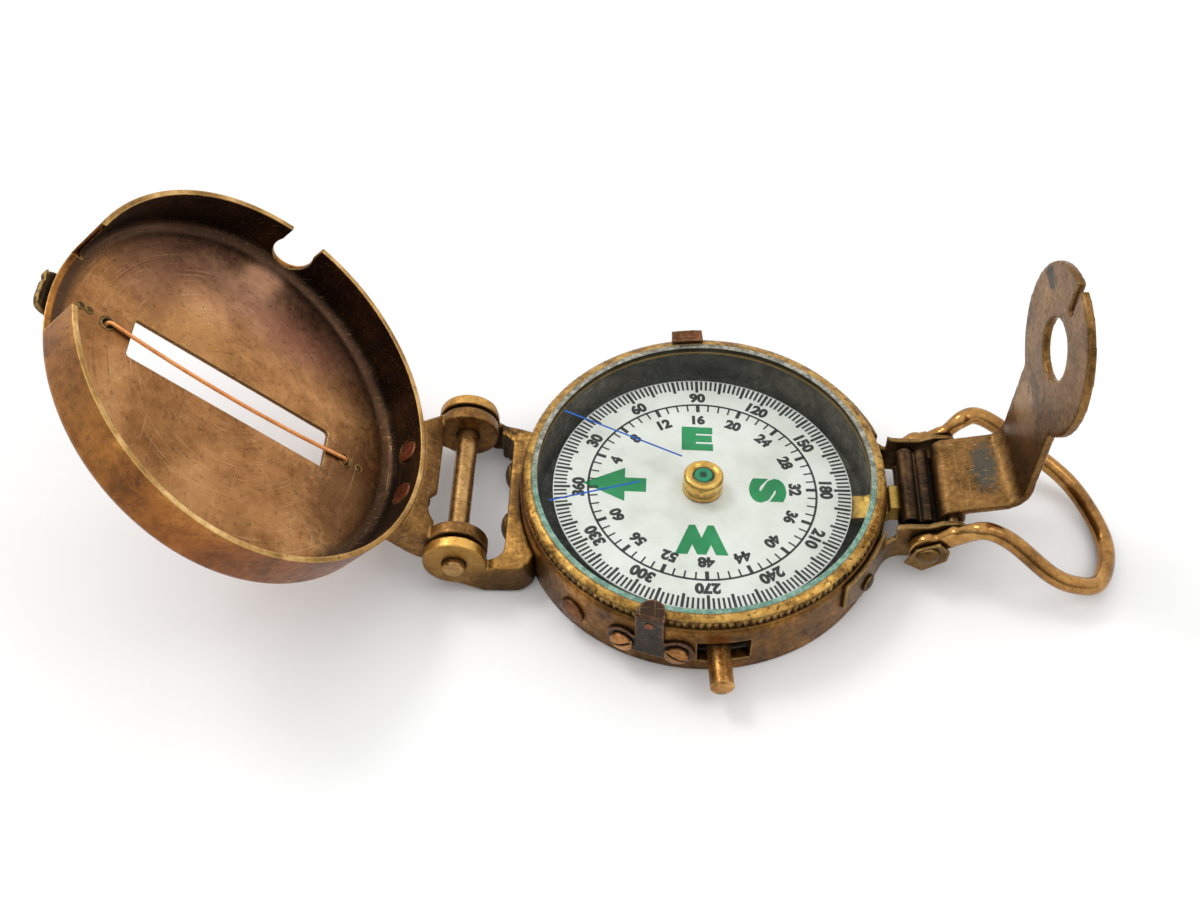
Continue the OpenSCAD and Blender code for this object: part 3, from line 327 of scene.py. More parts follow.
# what each metal changes of plainWear; its tones run from dark patina to bare metal
metals = {
    "caseBrass": {
        "tones": [(0.36, (0.053, 0.024, 0.006)), (0.46, (0.156, 0.071, 0.016)),
                  (0.54, (0.234, 0.104, 0.022)), (0.64, (0.484, 0.225, 0.053))],
        "grain": 0.8, "share": 0.4, "scratchTurn": (0, 0, 0.2),
    },
    "bezelBrass": {
        "tones": [(0.34, (0.028, 0.015, 0.005)), (0.44, (0.209, 0.106, 0.024)),
                  (0.52, (0.399, 0.221, 0.048)), (0.64, (0.646, 0.398, 0.111))],
        # painted shade: its upright faces are darker than its top
        "patch": 0.35, "pits": 0.85, "pitSize": 1.5, "rough": (0.22, 0.45), "sides": (0.38, 0.35, 0.28),
    },
    "castBrass": {
        "tones": [(0.36, (0.144, 0.07, 0.016)), (0.46, (0.334, 0.167, 0.039)),
                  (0.54, (0.495, 0.255, 0.059)), (0.64, (0.766, 0.437, 0.125))],
        # painted shade: its upright faces are darker than its top
        "edge": 0.45, "rough": (0.26, 0.44), "bump": 0.09, "sides": (0.5, 0.48, 0.44),
        # painted highlights on the two hinge ears (the two bright patches) and painted shade low down
        # against the case (the three dark ones)
        "stainsAndLight": [((-37.3, -14.0, 9.5), (7.5, 3.6, 6.5), (0.9, 0.5, 0.12), 0.65),
                   ((-37.3, 14.0, 9.5), (7.5, 3.6, 6.5), (0.6, 0.33, 0.09), 0.4),
                   ((-30.0, 12.6, 2.5), (6.0, 3.2, 6.0), (0.04, 0.022, 0.009), 0.95),
                   ((-28.4, 0.0, 3.0), (2.6, 13.0, 7.0), (0.09, 0.045, 0.016), 0.8),
                   ((-30.0, -14.5, 2.5), (6.5, 5.0, 5.0), (0.1, 0.047, 0.015), 0.6)],
    },
    "lidCast": {
        "tones": [(0.36, (0.06, 0.028, 0.008)), (0.46, (0.17, 0.079, 0.021)),
                  (0.54, (0.27, 0.13, 0.035)), (0.64, (0.42, 0.233, 0.07))],
        "edge": 0.45, "rough": (0.3, 0.5), "bump": 0.09,
    },
    "pinBrass": {
        "tones": [(0.36, (0.147, 0.078, 0.024)), (0.48, (0.357, 0.195, 0.065)),
                  (0.62, (0.546, 0.332, 0.123))],
        "scratch": 0.2, "rough": (0.2, 0.38),
    },
    "strapBrass": {
        "tones": [(0.36, (0.056, 0.028, 0.008)), (0.46, (0.162, 0.082, 0.026)),
                  (0.54, (0.224, 0.113, 0.036)), (0.66, (0.347, 0.188, 0.068))],
        "pits": 0.35, "scratch": 0.5, "edge": 0.7, "rough": (0.28, 0.46), "metal": 1.0,
        "stainsAndLight": [((42.8, 1.0, 13.0), (2.2, 5.5, 3.0), (0.05, 0.065, 0.06), 0.75),
                   ((47.2, -1.0, 18.4), (3.2, 4.6, 2.8), (0.08, 0.043, 0.012), 0.3),
                   ((47.4, 2.5, 24.5), (3.2, 5.0, 4.2), (0.5, 0.31, 0.15), 0.5),
                   ((47.8, 9.3, 45.2), (2.0, 2.6, 1.7), (0.012, 0.009, 0.006), 0.9)],
    },
    "darkBrass": {
        "tones": [(0.36, (0.02, 0.01, 0.004)), (0.5, (0.06, 0.032, 0.01)), (0.64, (0.14, 0.073, 0.022))],
        "edge": 0.85, "rough": (0.28, 0.52),
    },
    "bracketBrass": {
        "tones": [(0.36, (0.058, 0.03, 0.009)), (0.5, (0.163, 0.086, 0.025)),
                  (0.64, (0.299, 0.164, 0.052))],
        "edge": 0.9, "edgeWidth": 0.5, "rough": (0.28, 0.5),
    },
    "catchBrass": {
        "tones": [(0.36, (0.015, 0.01, 0.006)), (0.5, (0.05, 0.031, 0.017)), (0.64, (0.14, 0.08, 0.03))],
        "edge": 1.0, "edgeWidth": 0.6, "edgeColour": (0.75, 0.45, 0.14), "rough": (0.26, 0.48),
    },
    "brownCopper": {
        "tones": [(0.36, (0.05, 0.019, 0.008)), (0.48, (0.12, 0.048, 0.02)), (0.62, (0.26, 0.115, 0.05))],
        "edge": 0.5, "edgeColour": (0.5, 0.26, 0.12), "rough": (0.3, 0.5),
    },
    "loopBrass": {
        "tones": [(0.36, (0.123, 0.058, 0.015)), (0.46, (0.308, 0.148, 0.042)),
                  (0.55, (0.456, 0.233, 0.065)), (0.66, (0.739, 0.444, 0.157))],
        "patch": 0.12, "share": 0.35, "pits": 0.3, "scratch": 0.2, "rough": (0.07, 0.18), "bump": 0.02,
    },
    "darkSteel": {
        "tones": [(0.36, (0.011, 0.009, 0.008)), (0.48, (0.033, 0.027, 0.023)),
                  (0.56, (0.051, 0.036, 0.025)), (0.66, (0.102, 0.075, 0.058))],
        "edge": 0.9, "edgeWidth": 0.5, "edgeColour": (0.5, 0.24, 0.12), "rough": (0.28, 0.48),
        "stainsAndLight": [((-8.4, -26.8, 12.6), (3.6, 2.6, 1.4), (0.045, 0.023, 0.014), 0.85),
                   ((-3.4, -29.6, 4.0), (2.6, 2.5, 3.0), (0.14, 0.07, 0.032), 0.7)],
    },
    "springSteel": {
        "tones": [(0.36, (0.012, 0.008, 0.004)), (0.5, (0.045, 0.023, 0.01)),
                  (0.66, (0.135, 0.072, 0.028))],
        "edge": 0.35, "edgeColour": (0.3, 0.19, 0.12), "rough": (0.3, 0.5),
    },
    "screwCopper": {
        "tones": [(0.36, (0.119, 0.045, 0.013)), (0.48, (0.323, 0.143, 0.041)),
                  (0.62, (0.612, 0.285, 0.094))],
        "pits": 0.6, "edgeColour": (0.7, 0.42, 0.22), "rough": (0.25, 0.45),
    },
    "redCopper": {
        "tones": [(0.36, (0.045, 0.013, 0.007)), (0.48, (0.165, 0.048, 0.021)),
                  (0.62, (0.39, 0.135, 0.06))],
        "edge": 0.4, "edgeColour": (0.5, 0.22, 0.11), "rough": (0.3, 0.5),
    },
    "wireCopper": {
        "tones": [(0.36, (0.6, 0.2, 0.05)), (0.5, (0.88, 0.33, 0.09)), (0.64, (0.95, 0.48, 0.18))],
        "pits": 0.1, "scratch": 0.0, "edge": 0.0, "edgeWidth": 0.02, "dirt": 0.0, "metal": 0.3,
        "rough": (0.2, 0.36), "bump": 0.01,
    },
    "lockBrass": {
        "tones": [(0.36, (0.143, 0.062, 0.015)), (0.48, (0.374, 0.174, 0.043)),
                  (0.62, (0.66, 0.359, 0.111))],
        "scratch": 0.4, "rough": (0.2, 0.38),
    },
    "capBrass": {
        "tones": [(0.36, (0.483, 0.265, 0.045)), (0.5, (0.885, 0.519, 0.099)),
                  (0.64, (1.0, 0.784, 0.216))],
        "pits": 0.2, "dirt": 0.15, "metal": 0.8, "rough": (0.14, 0.28), "bump": 0.02,
    },
    "paleBrass": {
        "tones": [(0.36, (0.3, 0.17, 0.03)), (0.5, (0.56, 0.36, 0.075)), (0.64, (0.75, 0.52, 0.14))],
        "rough": (0.25, 0.42),
    },
    "chamberGrey": {
        "tones": [(0.36, (0.048, 0.042, 0.032)), (0.5, (0.141, 0.126, 0.096)),
                  (0.64, (0.313, 0.288, 0.22))],
        "scratch": 0.1, "scratchColour": (0.2, 0.2, 0.18), "edge": 0.2, "edgeColour": (0.2, 0.2, 0.18),
        "dirt": 0.3, "metal": 0.2, "rough": (0.6, 0.9),
        # painted shade: darker towards the far side of the chamber
        "stainsAndLight": [((0, 26, 9.5), (15, 9, 6), (0.028, 0.028, 0.024), 0.75)],
    },
}
finishes = {name: metalFinish(name, changes) for name, changes in metals.items()}
print("metal finishes ready:", len(finishes))

# the lid's pattern lies in its shut place, so that floor, wall and rim are told apart by height and
# by distance from the middle; places are in mm, and spans as in marks, some with the shares there
lidLook = {
    "hinge": (-37.6, 0, 7.1),
    "open": 134.4,          # degrees
    "grainShare": 0.28,
    "floor": [(0.28, (0.152, 0.062, 0.022)), (0.42, (0.315, 0.134, 0.042)),
              (0.54, (0.48, 0.227, 0.083)), (0.68, (0.654, 0.352, 0.149))],
    "floorHeights": (12.5, 15.68),
    "floorEdge": (29.3, 29.1),
    "floorStains": [((-23, -7, 15.6), (9, 15, 4), (0.07, 0.028, 0.01), 0.65),
                    ((8, 6, 15.6), (9, 8, 4), (0.5, 0.25, 0.085), 0.45),
                    ((-8, 17, 15.6), (9, 5, 4), (0.3, 0.11, 0.07), 0.5),
                    ((17, 13, 15.6), (7, 8, 4), (0.19, 0.085, 0.05), 0.5)],
    "farFloor": [(0.34, (0.105, 0.046, 0.027)), (0.5, (0.281, 0.133, 0.076)),
                 (0.62, (0.422, 0.214, 0.116))],
    "farFloorRagged": 12,
    "farFloorSpan": (14, 26),
    "nearFloor": (0.76, 0.74, 0.7),
    "nearFloorRagged": 10,
    "nearFloorSpan": (14, -8),
    "arcStretch": 3.0,      # of the angle, in radians, against the radius
    "arcs": (0.75, 0.5, 0.27),
    "arcSpan": (0.6, 0.74, 0, 0.45),
    "grooves": (0.07, 0.03, 0.014),
    "grooveSpan": (0.62, 0.74, 0, 0.5),
    # painted shade: a dark ring on the floor where it meets the wall
    "cornerShadeRing": (0.03, 0.015, 0.008),
    "cornerShadeRingRagged": 3,
    "cornerShadeRingSpan": (27.6, 29.4, 0, 0.85),
    "outside": [(0.34, (0.072, 0.026, 0.007)), (0.44, (0.24, 0.091, 0.019)),
                (0.54, (0.432, 0.174, 0.036)), (0.64, (0.696, 0.348, 0.084))],
    "streakStretch": 30.0,  # of the angle against the height
    "streakSpan": (28.9, 29.3, 0, 0.32),
    "under": (0.6, 0.48, 0.4),      # the near side of the outside, in shade
    "underSpans": ((22, 4), (-8, -20)),
    "cut": (0.12, 0.055, 0.02),     # in the slot and the holes
    "cutHeights": (15.7, 16.3),
    "cutEdge": (28.2, 27.8),
    "wall": [(0.38, (0.008, 0.006, 0.004)), (0.5, (0.019, 0.012, 0.008)), (0.64, (0.06, 0.035, 0.018))],
    "wallRadii": (28.4, 29.8),
    "wallTop": (15.0, 14.4),
    "nearWall": [(0.38, (0.03, 0.015, 0.007)), (0.5, (0.09, 0.046, 0.018)), (0.64, (0.2, 0.11, 0.045))],
    "nearWallSpan": (-8, -22),
    "rim": [(0.36, (0.13, 0.065, 0.02)), (0.5, (0.4, 0.22, 0.065)), (0.64, (0.85, 0.56, 0.24))],
    "rimTop": (7.72, 7.64),
    "wear": {"pits": 0.4, "pitSize": 1.3, "pitColour": (0.035, 0.018, 0.01), "scratch": 0.3,
             "scratchColour": (0.7, 0.42, 0.2), "edge": 0.7, "edgeColour": (0.78, 0.46, 0.14),
             "dirt": 0.7, "rough": (0.26, 0.46), "bump": 0.04},
}


def lidFinish(name, look):
    mat, tree, shader, coords = startFinish(name)
    hinge = Vector(look["hinge"])
    turn = Euler((0, math.radians(look["open"]), 0))
    shift = hinge - turn.to_matrix() @ hinge
    shut = add(tree, "ShaderNodeMapping", {0: coords, 1: shift, 2: turn}).outputs[0]
    x, y, z = add(tree, "ShaderNodeSeparateXYZ", {0: shut}).outputs
    squares = (work(tree, "MULTIPLY", value, value) for value in (x, y))
    out = work(tree, "SQRT", work(tree, "ADD", *squares))
    angle = work(tree, "ARCTAN2", y, x)
    both = blendValue(tree, look["grainShare"], noise(tree, shut, 0.1, rough=0.55),
                      noise(tree, shut, 0.8, detail=7, rough=0.66, shift=5))

    # inside of the floor, with bright arcs and dark grooves round its middle, and a ring of painted shade
    # by the wall
    floor = ramp(tree, both, look["floor"])
    far = remap(tree, plus(tree, y, both, look["farFloorRagged"]), *look["farFloorSpan"])
    floor = blendColour(tree, far, floor, ramp(tree, both, look["farFloor"]))
    near = remap(tree, plus(tree, y, both, look["nearFloorRagged"]), *look["nearFloorSpan"])
    floor = blendColour(tree, near, floor, look["nearFloor"], "MULTIPLY")
    floor = stainsAndLightInto(tree, shut, floor, look["floorStains"])
    along = work(tree, "MULTIPLY", angle, look["arcStretch"])
    polar = add(tree, "ShaderNodeCombineXYZ", {0: along, 1: out}).outputs[0]
    arcs = noise(tree, polar, 1.0, detail=3, stretch=(0.5, 4.5, 1))
    floor = blendColour(tree, remap(tree, arcs, *look["arcSpan"]), floor, look["arcs"])
    grooves = noise(tree, polar, 1.0, detail=2, rough=0.5, stretch=(0.4, 3.2, 1), shift=9)
    floor = blendColour(tree, remap(tree, grooves, *look["grooveSpan"]), floor, look["grooves"])
    # painted shade: the floor darkens towards the wall
    dirt = remap(tree, plus(tree, out, both, look["cornerShadeRingRagged"]), *look["cornerShadeRingSpan"])
    floor = blendColour(tree, dirt, floor, look["cornerShadeRing"])

    # outside, with streaks from rim to floor on its wall
    along = work(tree, "MULTIPLY", angle, look["streakStretch"])
    around = add(tree, "ShaderNodeCombineXYZ", {0: along, 2: z}).outputs[0]
    streaks = noise(tree, around, 1.0, detail=3, rough=0.5, stretch=(0.22, 1, 0.06), shift=14)
    streaked = blendValue(tree, remap(tree, out, *look["streakSpan"]), both, streaks)
    colour = ramp(tree, streaked, look["outside"])
    bounds = (remap(tree, value, *span) for value, span in zip((x, y), look["underSpans"]))
    colour = blendColour(tree, work(tree, "MULTIPLY", *bounds), colour, look["under"], "MULTIPLY")

    # floor, cut edges of the slot and the holes, inside of the wall, and rim, laid over it
    high = within(tree, z, *look["floorHeights"], soft=0.06)
    inFloor = work(tree, "MULTIPLY", high, remap(tree, out, *look["floorEdge"]))
    colour = blendColour(tree, inFloor, colour, floor)
    high = within(tree, z, *look["cutHeights"], soft=0.05)
    inCut = work(tree, "MULTIPLY", high, remap(tree, out, *look["cutEdge"]))
    colour = blendColour(tree, inCut, colour, look["cut"])
    wall, nearWall = (ramp(tree, both, look[side]) for side in ("wall", "nearWall"))
    wall = blendColour(tree, remap(tree, y, *look["nearWallSpan"]), wall, nearWall)
    wide = within(tree, out, *look["wallRadii"], soft=0.06)
    inWall = work(tree, "MULTIPLY", wide, remap(tree, z, *look["wallTop"]))
    colour = blendColour(tree, inWall, colour, wall)
    rim = ramp(tree, streaked, look["rim"])
    colour = blendColour(tree, remap(tree, z, *look["rimTop"]), colour, rim)
    wearInto(tree, shader, coords, colour, {**plainWear, **look["wear"]})
    return mat


finishes["lidBrass"] = lidFinish("lidBrass", lidLook)

# enamel and paint of the card, its print, the jewel and the sight lines: a little uneven, with specks
plainPaint = {
    "patch": 0.12,          # noise per mm, as speckSize and grain
    "specks": 0.25,
    "speckSize": 3.0,
    "speckSpan": (0.66, 0.74),
    "speckColour": (0.3, 0.27, 0.2),
    "darkRings": (),        # inner and outer radius in mm, in the specks' colour
    "gloss": 0.25,
    "grain": 2.0,
    "roughSpan": (0.3, 0.7),
    "roughMore": 0.15,
    "bump": 0.02,           # mm
    "bumpStrength": 0.3,
}


def paintFinish(name, changes):
    look = {**plainPaint, **changes}
    mat, tree, shader, coords = startFinish(name)
    colour = ramp(tree, noise(tree, coords, look["patch"]), look["tones"])
    spots = noise(tree, coords, look["speckSize"], detail=3, shift=13)
    share = remap(tree, spots, *look["speckSpan"], 0, look["specks"])
    colour = blendColour(tree, share, colour, look["speckColour"])
    if look["darkRings"]:
        level = add(tree, "ShaderNodeMapping", {0: coords, 3: (1, 1, 0)}).outputs[0]
        out = add(tree, "ShaderNodeVectorMath", {0: level}, operation="LENGTH").outputs["Value"]
        for inner, outer in look["darkRings"]:
            colour = blendColour(tree, within(tree, out, inner, outer), colour, look["speckColour"])
    put(tree, colour, shader.inputs["Base Color"])
    shader.inputs["Specular IOR Level"].default_value = look["gloss"]
    fine = noise(tree, coords, look["grain"], detail=5, shift=4)
    low = look["rough"]
    rough = remap(tree, fine, *look["roughSpan"], low, low + look["roughMore"])
    put(tree, rough, shader.inputs["Roughness"])
    values = {"Strength": look["bumpStrength"], "Distance": look["bump"] * mm, "Height": fine}
    put(tree, add(tree, "ShaderNodeBump", values).outputs[0], shader.inputs["Normal"])
    return mat


paints = {
    "dialWhite": {
        "tones": [(0.3, (0.6, 0.63, 0.56)), (0.5, (0.7, 0.735, 0.675)), (0.7, (0.76, 0.79, 0.74))],
        "rough": 0.35,
    },
    "dialBlack": {
        "tones": [(0.3, (0.012, 0.013, 0.012)), (0.7, (0.035, 0.037, 0.035))],
        "rough": 0.4, "specks": 0.3, "speckColour": (0.16, 0.16, 0.14),
    },
    "arrowGreen": {
        "tones": [(0.3, (0.004, 0.17, 0.05)), (0.5, (0.007, 0.23, 0.07)), (0.7, (0.016, 0.29, 0.095))],
        "rough": 0.3, "specks": 0.2, "speckColour": (0.01, 0.12, 0.05),
    },
    "jewelGreen": {
        "tones": [(0.3, (0.006, 0.16, 0.07)), (0.5, (0.015, 0.32, 0.14)), (0.7, (0.05, 0.5, 0.26))],
        "rough": 0.12, "specks": 0.1, "speckColour": (0.0, 0.03, 0.015),
        "darkRings": ((-1, 0.6), (1.35, 3)),
    },
    "lineBlue": {
        "tones": [(0.3, (0.004, 0.04, 0.24)), (0.5, (0.008, 0.08, 0.4)), (0.7, (0.02, 0.13, 0.52))],
        "rough": 0.4, "specks": 0.35, "speckColour": (0.01, 0.03, 0.1),
    },
}
finishes.update({name: paintFinish(name, changes) for name, changes in paints.items()})

# clear glass with a little dust, and the band round its edge where the wall shows through: green on the
# near side, with a painted silvery reflection on the far side
glassLook = {
    "tint": (0.3, 0.34, 0.3),
    "clear": 0.02,
    "dust": 0.05,
    "dustSpan": (0.5, 0.72),
    "smearSpan": (0.4, 0.7),
    "rough": (0.04, 0.2),
    "refraction": 1.5,
    "gloss": 0.15,
    "nearBand": [(0.35, (0.07, 0.17, 0.125)), (0.5, (0.15, 0.28, 0.21)), (0.64, (0.28, 0.43, 0.35))],
    # painted reflection: the band is silvery on the far side
    "farBandReflection": [(0.35, (0.1, 0.1, 0.085)), (0.5, (0.24, 0.23, 0.18)), (0.64, (0.44, 0.43, 0.36))],
    "farBandReflectionSpan": (-6, 4),         # mm towards the far side
    "bandR": (25.65, 26.47),
    "bandTop": 12.065,
    "bandSpan": (0.3, 0.7),
    "bandRough": (0.15, 0.4),
    "bandMetal": 0.3,
}


def glassFinish(name, look):
    mat, tree, shader, coords = startFinish(name)
    dust = noise(tree, coords, 0.35, detail=8, rough=0.75)
    shader.inputs["Base Color"].default_value = (*look["tint"], 1)
    clear = look["clear"]
    solid = remap(tree, dust, *look["dustSpan"], clear, clear + look["dust"])
    put(tree, solid, shader.inputs["Alpha"])
    smear = noise(tree, coords, 0.5, shift=8)
    put(tree, remap(tree, smear, *look["smearSpan"], *look["rough"]), shader.inputs["Roughness"])
    shader.inputs["IOR"].default_value = look["refraction"]
    shader.inputs["Specular IOR Level"].default_value = look["gloss"]
    return mat


def bandFinish(name, look):
    mat, tree, shader, coords = startFinish(name)
    y = add(tree, "ShaderNodeSeparateXYZ", {0: coords}).outputs[1]
    spots = noise(tree, coords, 0.9, detail=6, rough=0.7, shift=2)
    # green on the near side, painted silvery reflection on the far side
    near, far = (ramp(tree, spots, look[side]) for side in ("nearBand", "farBandReflection"))
    colour = blendColour(tree, remap(tree, y, *look["farBandReflectionSpan"]), near, far)
    put(tree, colour, shader.inputs["Base Color"])
    rough = remap(tree, spots, *look["bandSpan"], *look["bandRough"])
    put(tree, rough, shader.inputs["Roughness"])
    shader.inputs["Metallic"].default_value = look["bandMetal"]
    return mat


finishes["clearGlass"] = glassFinish("clearGlass", glassLook)
finishes["glassBand"] = bandFinish("glassBand", glassLook)
print("all finishes ready:", len(finishes))

# a CAD node is copied, merged and given soft edges, and the copy stands for it
copying = {
    "merge": 0.002,         # mm, within which two points are one
    "sharp": 32,            # degrees, from which an edge stays sharp
    "largeFaces": 90,       # their weight in the shading, of 100
    "easing": 0.5,          # how far a point moves towards its neighbours in a round of smoothing
}


def finishPiece(name, bm, finish, body):
    mesh = bpy.data.meshes.new(name)
    bm.to_mesh(mesh)
    bm.free()
    piece = bpy.data.objects.new(name, mesh)
    bpy.context.scene.collection.objects.link(piece)
    mesh.materials.append(finishes[finish])
    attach(piece, body)
    return piece


def mergedCopy(node):
    bm = bmesh.new()
    bm.from_mesh(nodes[node].data)
    bmesh.ops.remove_doubles(bm, verts=bm.verts, dist=copying["merge"] * mm)
    return bm


def smoothCopy(node, finish):
    piece = finishPiece(node + "_dressed", mergedCopy(node), finish, bodyOf[node])
    piece.data.shade_smooth()
    piece.data.set_sharp_from_angle(angle=math.radians(copying["sharp"]))
    weigh = piece.modifiers.new("largeFacesFirst", "WEIGHTED_NORMAL")
    weigh.keep_sharp = True
    weigh.weight = copying["largeFaces"]
    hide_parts(node)
    return piece


def castCopy(node, finish, voxel, rounds):
    bm = mergedCopy(node)
    mesh = bpy.data.meshes.new(node + "_raw")
    bm.to_mesh(mesh)
    bm.free()
    raw = bpy.data.objects.new(node + "_raw", mesh)
    bpy.context.scene.collection.objects.link(raw)
    remesh = raw.modifiers.new("voxels", "REMESH")
    remesh.mode = "VOXEL"
    remesh.voxel_size = voxel * mm
    bpy.context.view_layer.update()
    seen = raw.evaluated_get(bpy.context.evaluated_depsgraph_get())
    bm = bmesh.new()
    bm.from_mesh(seen.to_mesh())
    seen.to_mesh_clear()
    bpy.data.objects.remove(raw)
    for _ in range(rounds):
        bmesh.ops.smooth_vert(bm, verts=bm.verts, factor=copying["easing"], use_axis_x=True,
                              use_axis_y=True, use_axis_z=True)
    bmesh.ops.recalc_face_normals(bm, faces=bm.faces)
    piece = finishPiece(node + "_dressed", bm, finish, bodyOf[node])
    piece.data.shade_smooth()
    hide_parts(node)
    return piece


# node: finish, voxel in mm and rounds of smoothing for cast and bent pieces
castPieces = {
    "case_hinge_bracket": ("castBrass", 0.17, 6),
    "lid_hinge_bracket": ("lidCast", 0.17, 6),
    "hinge_pin": ("pinBrass", 0.14, 4),
    "lens_arm": ("strapBrass", 0.19, 7),
    "lens_bracket": ("bracketBrass", 0.14, 3),
    "lens_spring": ("springSteel", 0.12, 3),
    "thumb_loop": ("loopBrass", 0.17, 9),
    "loop_washers": ("bracketBrass", 0.09, 3),
    "loop_screws": ("bracketBrass", 0.09, 3),
    "front_clip": ("darkSteel", 0.1, 3),
    "clip_screws": ("screwCopper", 0.08, 3),
    "clip_rivet": ("redCopper", 0.05, 3),
    "back_clip": ("brownCopper", 0.1, 3),
    "back_clip_rivet": ("brownCopper", 0.08, 3),
    "case_rivet": ("brownCopper", 0.08, 3),
    "lid_catch": ("catchBrass", 0.12, 4),
    "catch_rivets": ("darkBrass", 0.06, 3),
    "lid_bracket_rivets": ("redCopper", 0.1, 4),
    "lens_bracket_rivets": ("darkBrass", 0.07, 3),
    "case_bracket_rivets": ("darkBrass", 0.1, 4),
    "wire_eyelets": ("darkBrass", 0.06, 2),
    "lid_plug": ("darkBrass", 0.05, 2),
}
smoothPieces = {
    "lid_shell": "lidBrass",
    "case_cup": "caseBrass",
    "bezel_ring": "bezelBrass",
    "chamber_liner": "chamberGrey",
    "chamber_floor": "chamberGrey",
    "pivot_post": "capBrass",
    "compass_card": "dialWhite",
    "card_magnets": "darkSteel",
    "pivot_cap": "capBrass",
    "cap_jewel": "jewelGreen",
    "glass": "clearGlass",
    "glass_ring": "paleBrass",
    "lens_pin": "pinBrass",
    "spring_rivet": "darkBrass",
    "sighting_wire": "wireCopper",
    "lock_pin": "lockBrass",
    "lock_shoe": "darkBrass",
    "card_lifter": "paleBrass",
    "lifter_pivot": "paleBrass",
}
thinner = {"lock_pin": 0.03}    # mm all round, so that it only touches the slot's end at its limit

for node, (finish, voxel, rounds) in castPieces.items():
    castCopy(node, finish, voxel, rounds)
print("cast and bent pieces:", len(castPieces))
for node, finish in smoothPieces.items():
    piece = smoothCopy(node, finish)
    if node in thinner:
        slim = piece.modifiers.new("hairThinner", "DISPLACE")
        slim.mid_level = 0
        slim.strength = -thinner[node] * mm
print("turned and sheet pieces:", len(smoothPieces))

# the card's print in mm and degrees, laid flat in the card's own plane and then dipped with it
cardPrint = {
    "level": 7.52,
    "tip": 8.7,             # height of the point that the card hangs from
    "dip": (-2.1, 2.4),
    "phi": 1.9,             # the ring's zero past the card's -X
    "scales": [  # the fine ticks of a scale begin further out, by what they are shorter
        {"ticks": 180, "boldEvery": 5, "r": (20.6, 23.15), "bold": 0.48, "fine": 0.36, "shorter": 0.55},
        {"ticks": 64, "boldEvery": 4, "r": (16.2, 17.8), "bold": 0.6, "fine": 0.28, "shorter": 0.2},
    ],
    "ringR": (17.62, 17.98),
    "figures": [
        {"count": 12, "step": 30, "angle": 30, "r": 19.35, "height": 2.1},
        {"count": 15, "step": 4, "angle": 22.5, "r": 14.5, "height": 2.0},
    ],
    "figureWeight": 0.06,
    "letters": [  # letter, centre, height and width, turn, weight
        ("E", (-0.7, 10.4), 5.0, 5.0, 0, 0.075),
        ("S", (10.2, 0.1), 5.8, 5.0, -90, 0.075),
        ("W", (-0.2, -10.2), 5.7, 8.1, 180, 0.1),
    ],
    "arrow": [(-18.7, 0.2), (-12.1, 3.6), (-12.1, 1.6), (-8.75, 1.6), (-8.75, -1.2), (-12.1, -1.2),
              (-12.1, -3.2)],
}


def cardPlane(look):
    lift = Matrix.Translation((0, 0, look["tip"]))
    dip = (Matrix.Rotation(math.radians(look["dip"][0]), 4, "X")
           @ Matrix.Rotation(math.radians(look["dip"][1]), 4, "Y"))
    return Matrix.Scale(mm, 4) @ lift @ dip @ lift.inverted() @ Matrix.Translation((0, 0, look["level"]))


def addFlat(bm, size, where):
    made = bmesh.ops.create_grid(bm, x_segments=1, y_segments=1, size=0.5)
    bmesh.ops.scale(bm, vec=(size[0], size[1], 1), verts=made["verts"])
    bmesh.ops.transform(bm, matrix=where, verts=made["verts"])


def addRing(bm, inner, outer, steps=180):
    start = [bm.verts.new((inner, 0, 0)), bm.verts.new((outer, 0, 0))]
    line = bm.edges.new(start)
    bmesh.ops.spin(bm, geom=start + [line], cent=(0, 0, 0), axis=(0, 0, 1), angle=math.tau,
                   steps=steps, use_merge=True, use_duplicate=False)


def addText(bm, text, height, width, where, weight):
    data = bpy.data.curves.new("figures", "FONT")
    data.body = text
    data.offset = weight
    data.resolution_u = 4
    holder = bpy.data.objects.new("figures", data)
    bpy.context.scene.collection.objects.link(holder)
    bpy.context.view_layer.update()
    seen = holder.evaluated_get(bpy.context.evaluated_depsgraph_get())
    mesh = bpy.data.meshes.new_from_object(seen)
    bpy.data.objects.remove(holder)
    low = Vector((min(v.co[k] for v in mesh.vertices) for k in range(3)))
    high = Vector((max(v.co[k] for v in mesh.vertices) for k in range(3)))
    grow = height / (high.y - low.y)
    wide = width / (high.x - low.x) if width else grow
    mesh.transform(where @ Matrix.Diagonal((wide, grow, 1, 1)) @ Matrix.Translation(-(low + high) / 2))
    bm.from_mesh(mesh)
    bpy.data.meshes.remove(mesh)


def onDial(angle, radius, turn=0.0):
    a = math.radians(angle)
    place = Matrix.Translation((radius * math.cos(a), radius * math.sin(a), 0))
    return place @ Matrix.Rotation(math.radians(angle + turn), 4, "Z")


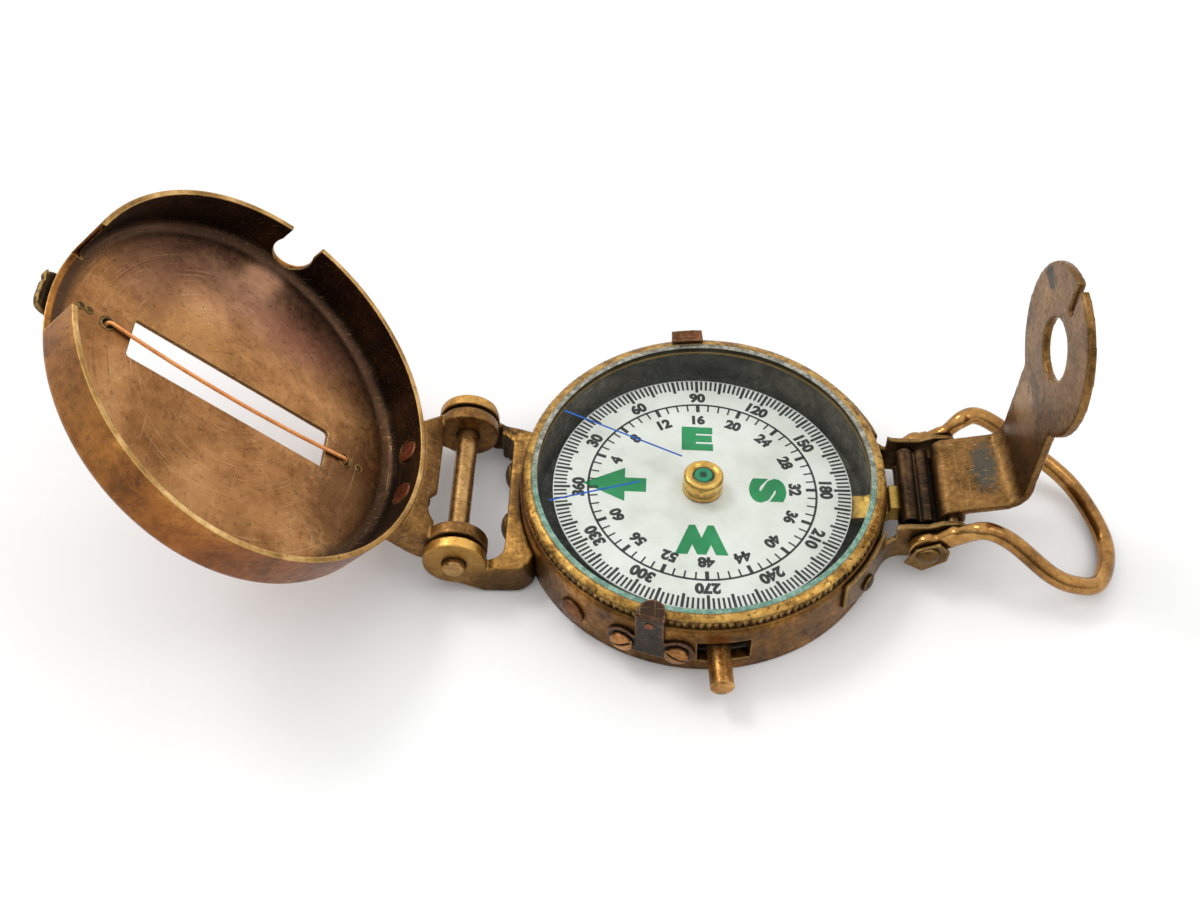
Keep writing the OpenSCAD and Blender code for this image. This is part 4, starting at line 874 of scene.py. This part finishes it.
def buildDialPrint(look):
    bm = bmesh.new()
    zero = 180 + look["phi"]
    for scale in look["scales"]:
        inner, outer = scale["r"]
        for k in range(scale["ticks"]):
            bold = k % scale["boldEvery"] == 0
            start = inner if bold else inner + scale["shorter"]
            where = onDial(zero - 360 / scale["ticks"] * k, (start + outer) / 2)
            addFlat(bm, (outer - start, scale["bold"] if bold else scale["fine"]), where)
    addRing(bm, *look["ringR"])
    for row in look["figures"]:
        for k in range(1, row["count"] + 1):
            where = onDial(zero - row["angle"] * k, row["r"], -90)
            addText(bm, str(row["step"] * k), row["height"], None, where, look["figureWeight"])
    bmesh.ops.transform(bm, matrix=cardPlane(look), verts=bm.verts)
    finishPiece("dial_print", bm, "dialBlack", "card")


def buildGreenPrint(look):
    bm = bmesh.new()
    for letter, place, height, width, turn, weight in look["letters"]:
        where = Matrix.Translation((*place, 0)) @ Matrix.Rotation(math.radians(turn), 4, "Z")
        addText(bm, letter, height, width, where, weight)
    bm.faces.new([bm.verts.new((x, y, 0)) for x, y in look["arrow"]])
    bmesh.ops.recalc_face_normals(bm, faces=bm.faces)
    for face in bm.faces:
        if face.normal.z < 0:
            face.normal_flip()
    bmesh.ops.transform(bm, matrix=cardPlane(look), verts=bm.verts)
    finishPiece("green_print", bm, "arrowGreen", "card")


buildDialPrint(cardPrint)
buildGreenPrint(cardPrint)
print("card print ready")

# blue sight lines on the glass: radius in mm and angle in degrees of each line's two ends
sightLines = {
    "level": 12.07,
    "width": 0.3,
    "ends": [((25.0, 151.9), (4.25, 141.0)), ((24.3, -164.9), (10.0, -166.2))],
}


def buildSightLines(look):
    bm = bmesh.new()
    for start, end in look["ends"]:
        a, b = (Vector((r * math.cos(math.radians(t)), r * math.sin(math.radians(t)), look["level"]))
                for r, t in (start, end))
        where = Matrix.Translation((a + b) / 2) @ (b - a).to_track_quat("X", "Z").to_matrix().to_4x4()
        addFlat(bm, ((b - a).length, look["width"]), where)
    bmesh.ops.scale(bm, vec=(mm, mm, mm), verts=bm.verts)
    finishPiece("sight_lines", bm, "lineBlue", "bezel")


def buildGlassBand(look):
    bm = bmesh.new()
    addRing(bm, *look["bandR"])
    bmesh.ops.translate(bm, vec=(0, 0, look["bandTop"]), verts=bm.verts)
    bmesh.ops.scale(bm, vec=(mm, mm, mm), verts=bm.verts)
    bmesh.ops.recalc_face_normals(bm, faces=bm.faces)
    finishPiece("glass_edge_band", bm, "glassBand", "bezel")


buildSightLines(sightLines)
buildGlassBand(glassLook)
print("glass details ready")

# the CAD nodes that the pieces stand for get a finish too
for item in nodes.values():
    item.data.materials.clear()
    item.data.materials.append(finishes["caseBrass"])
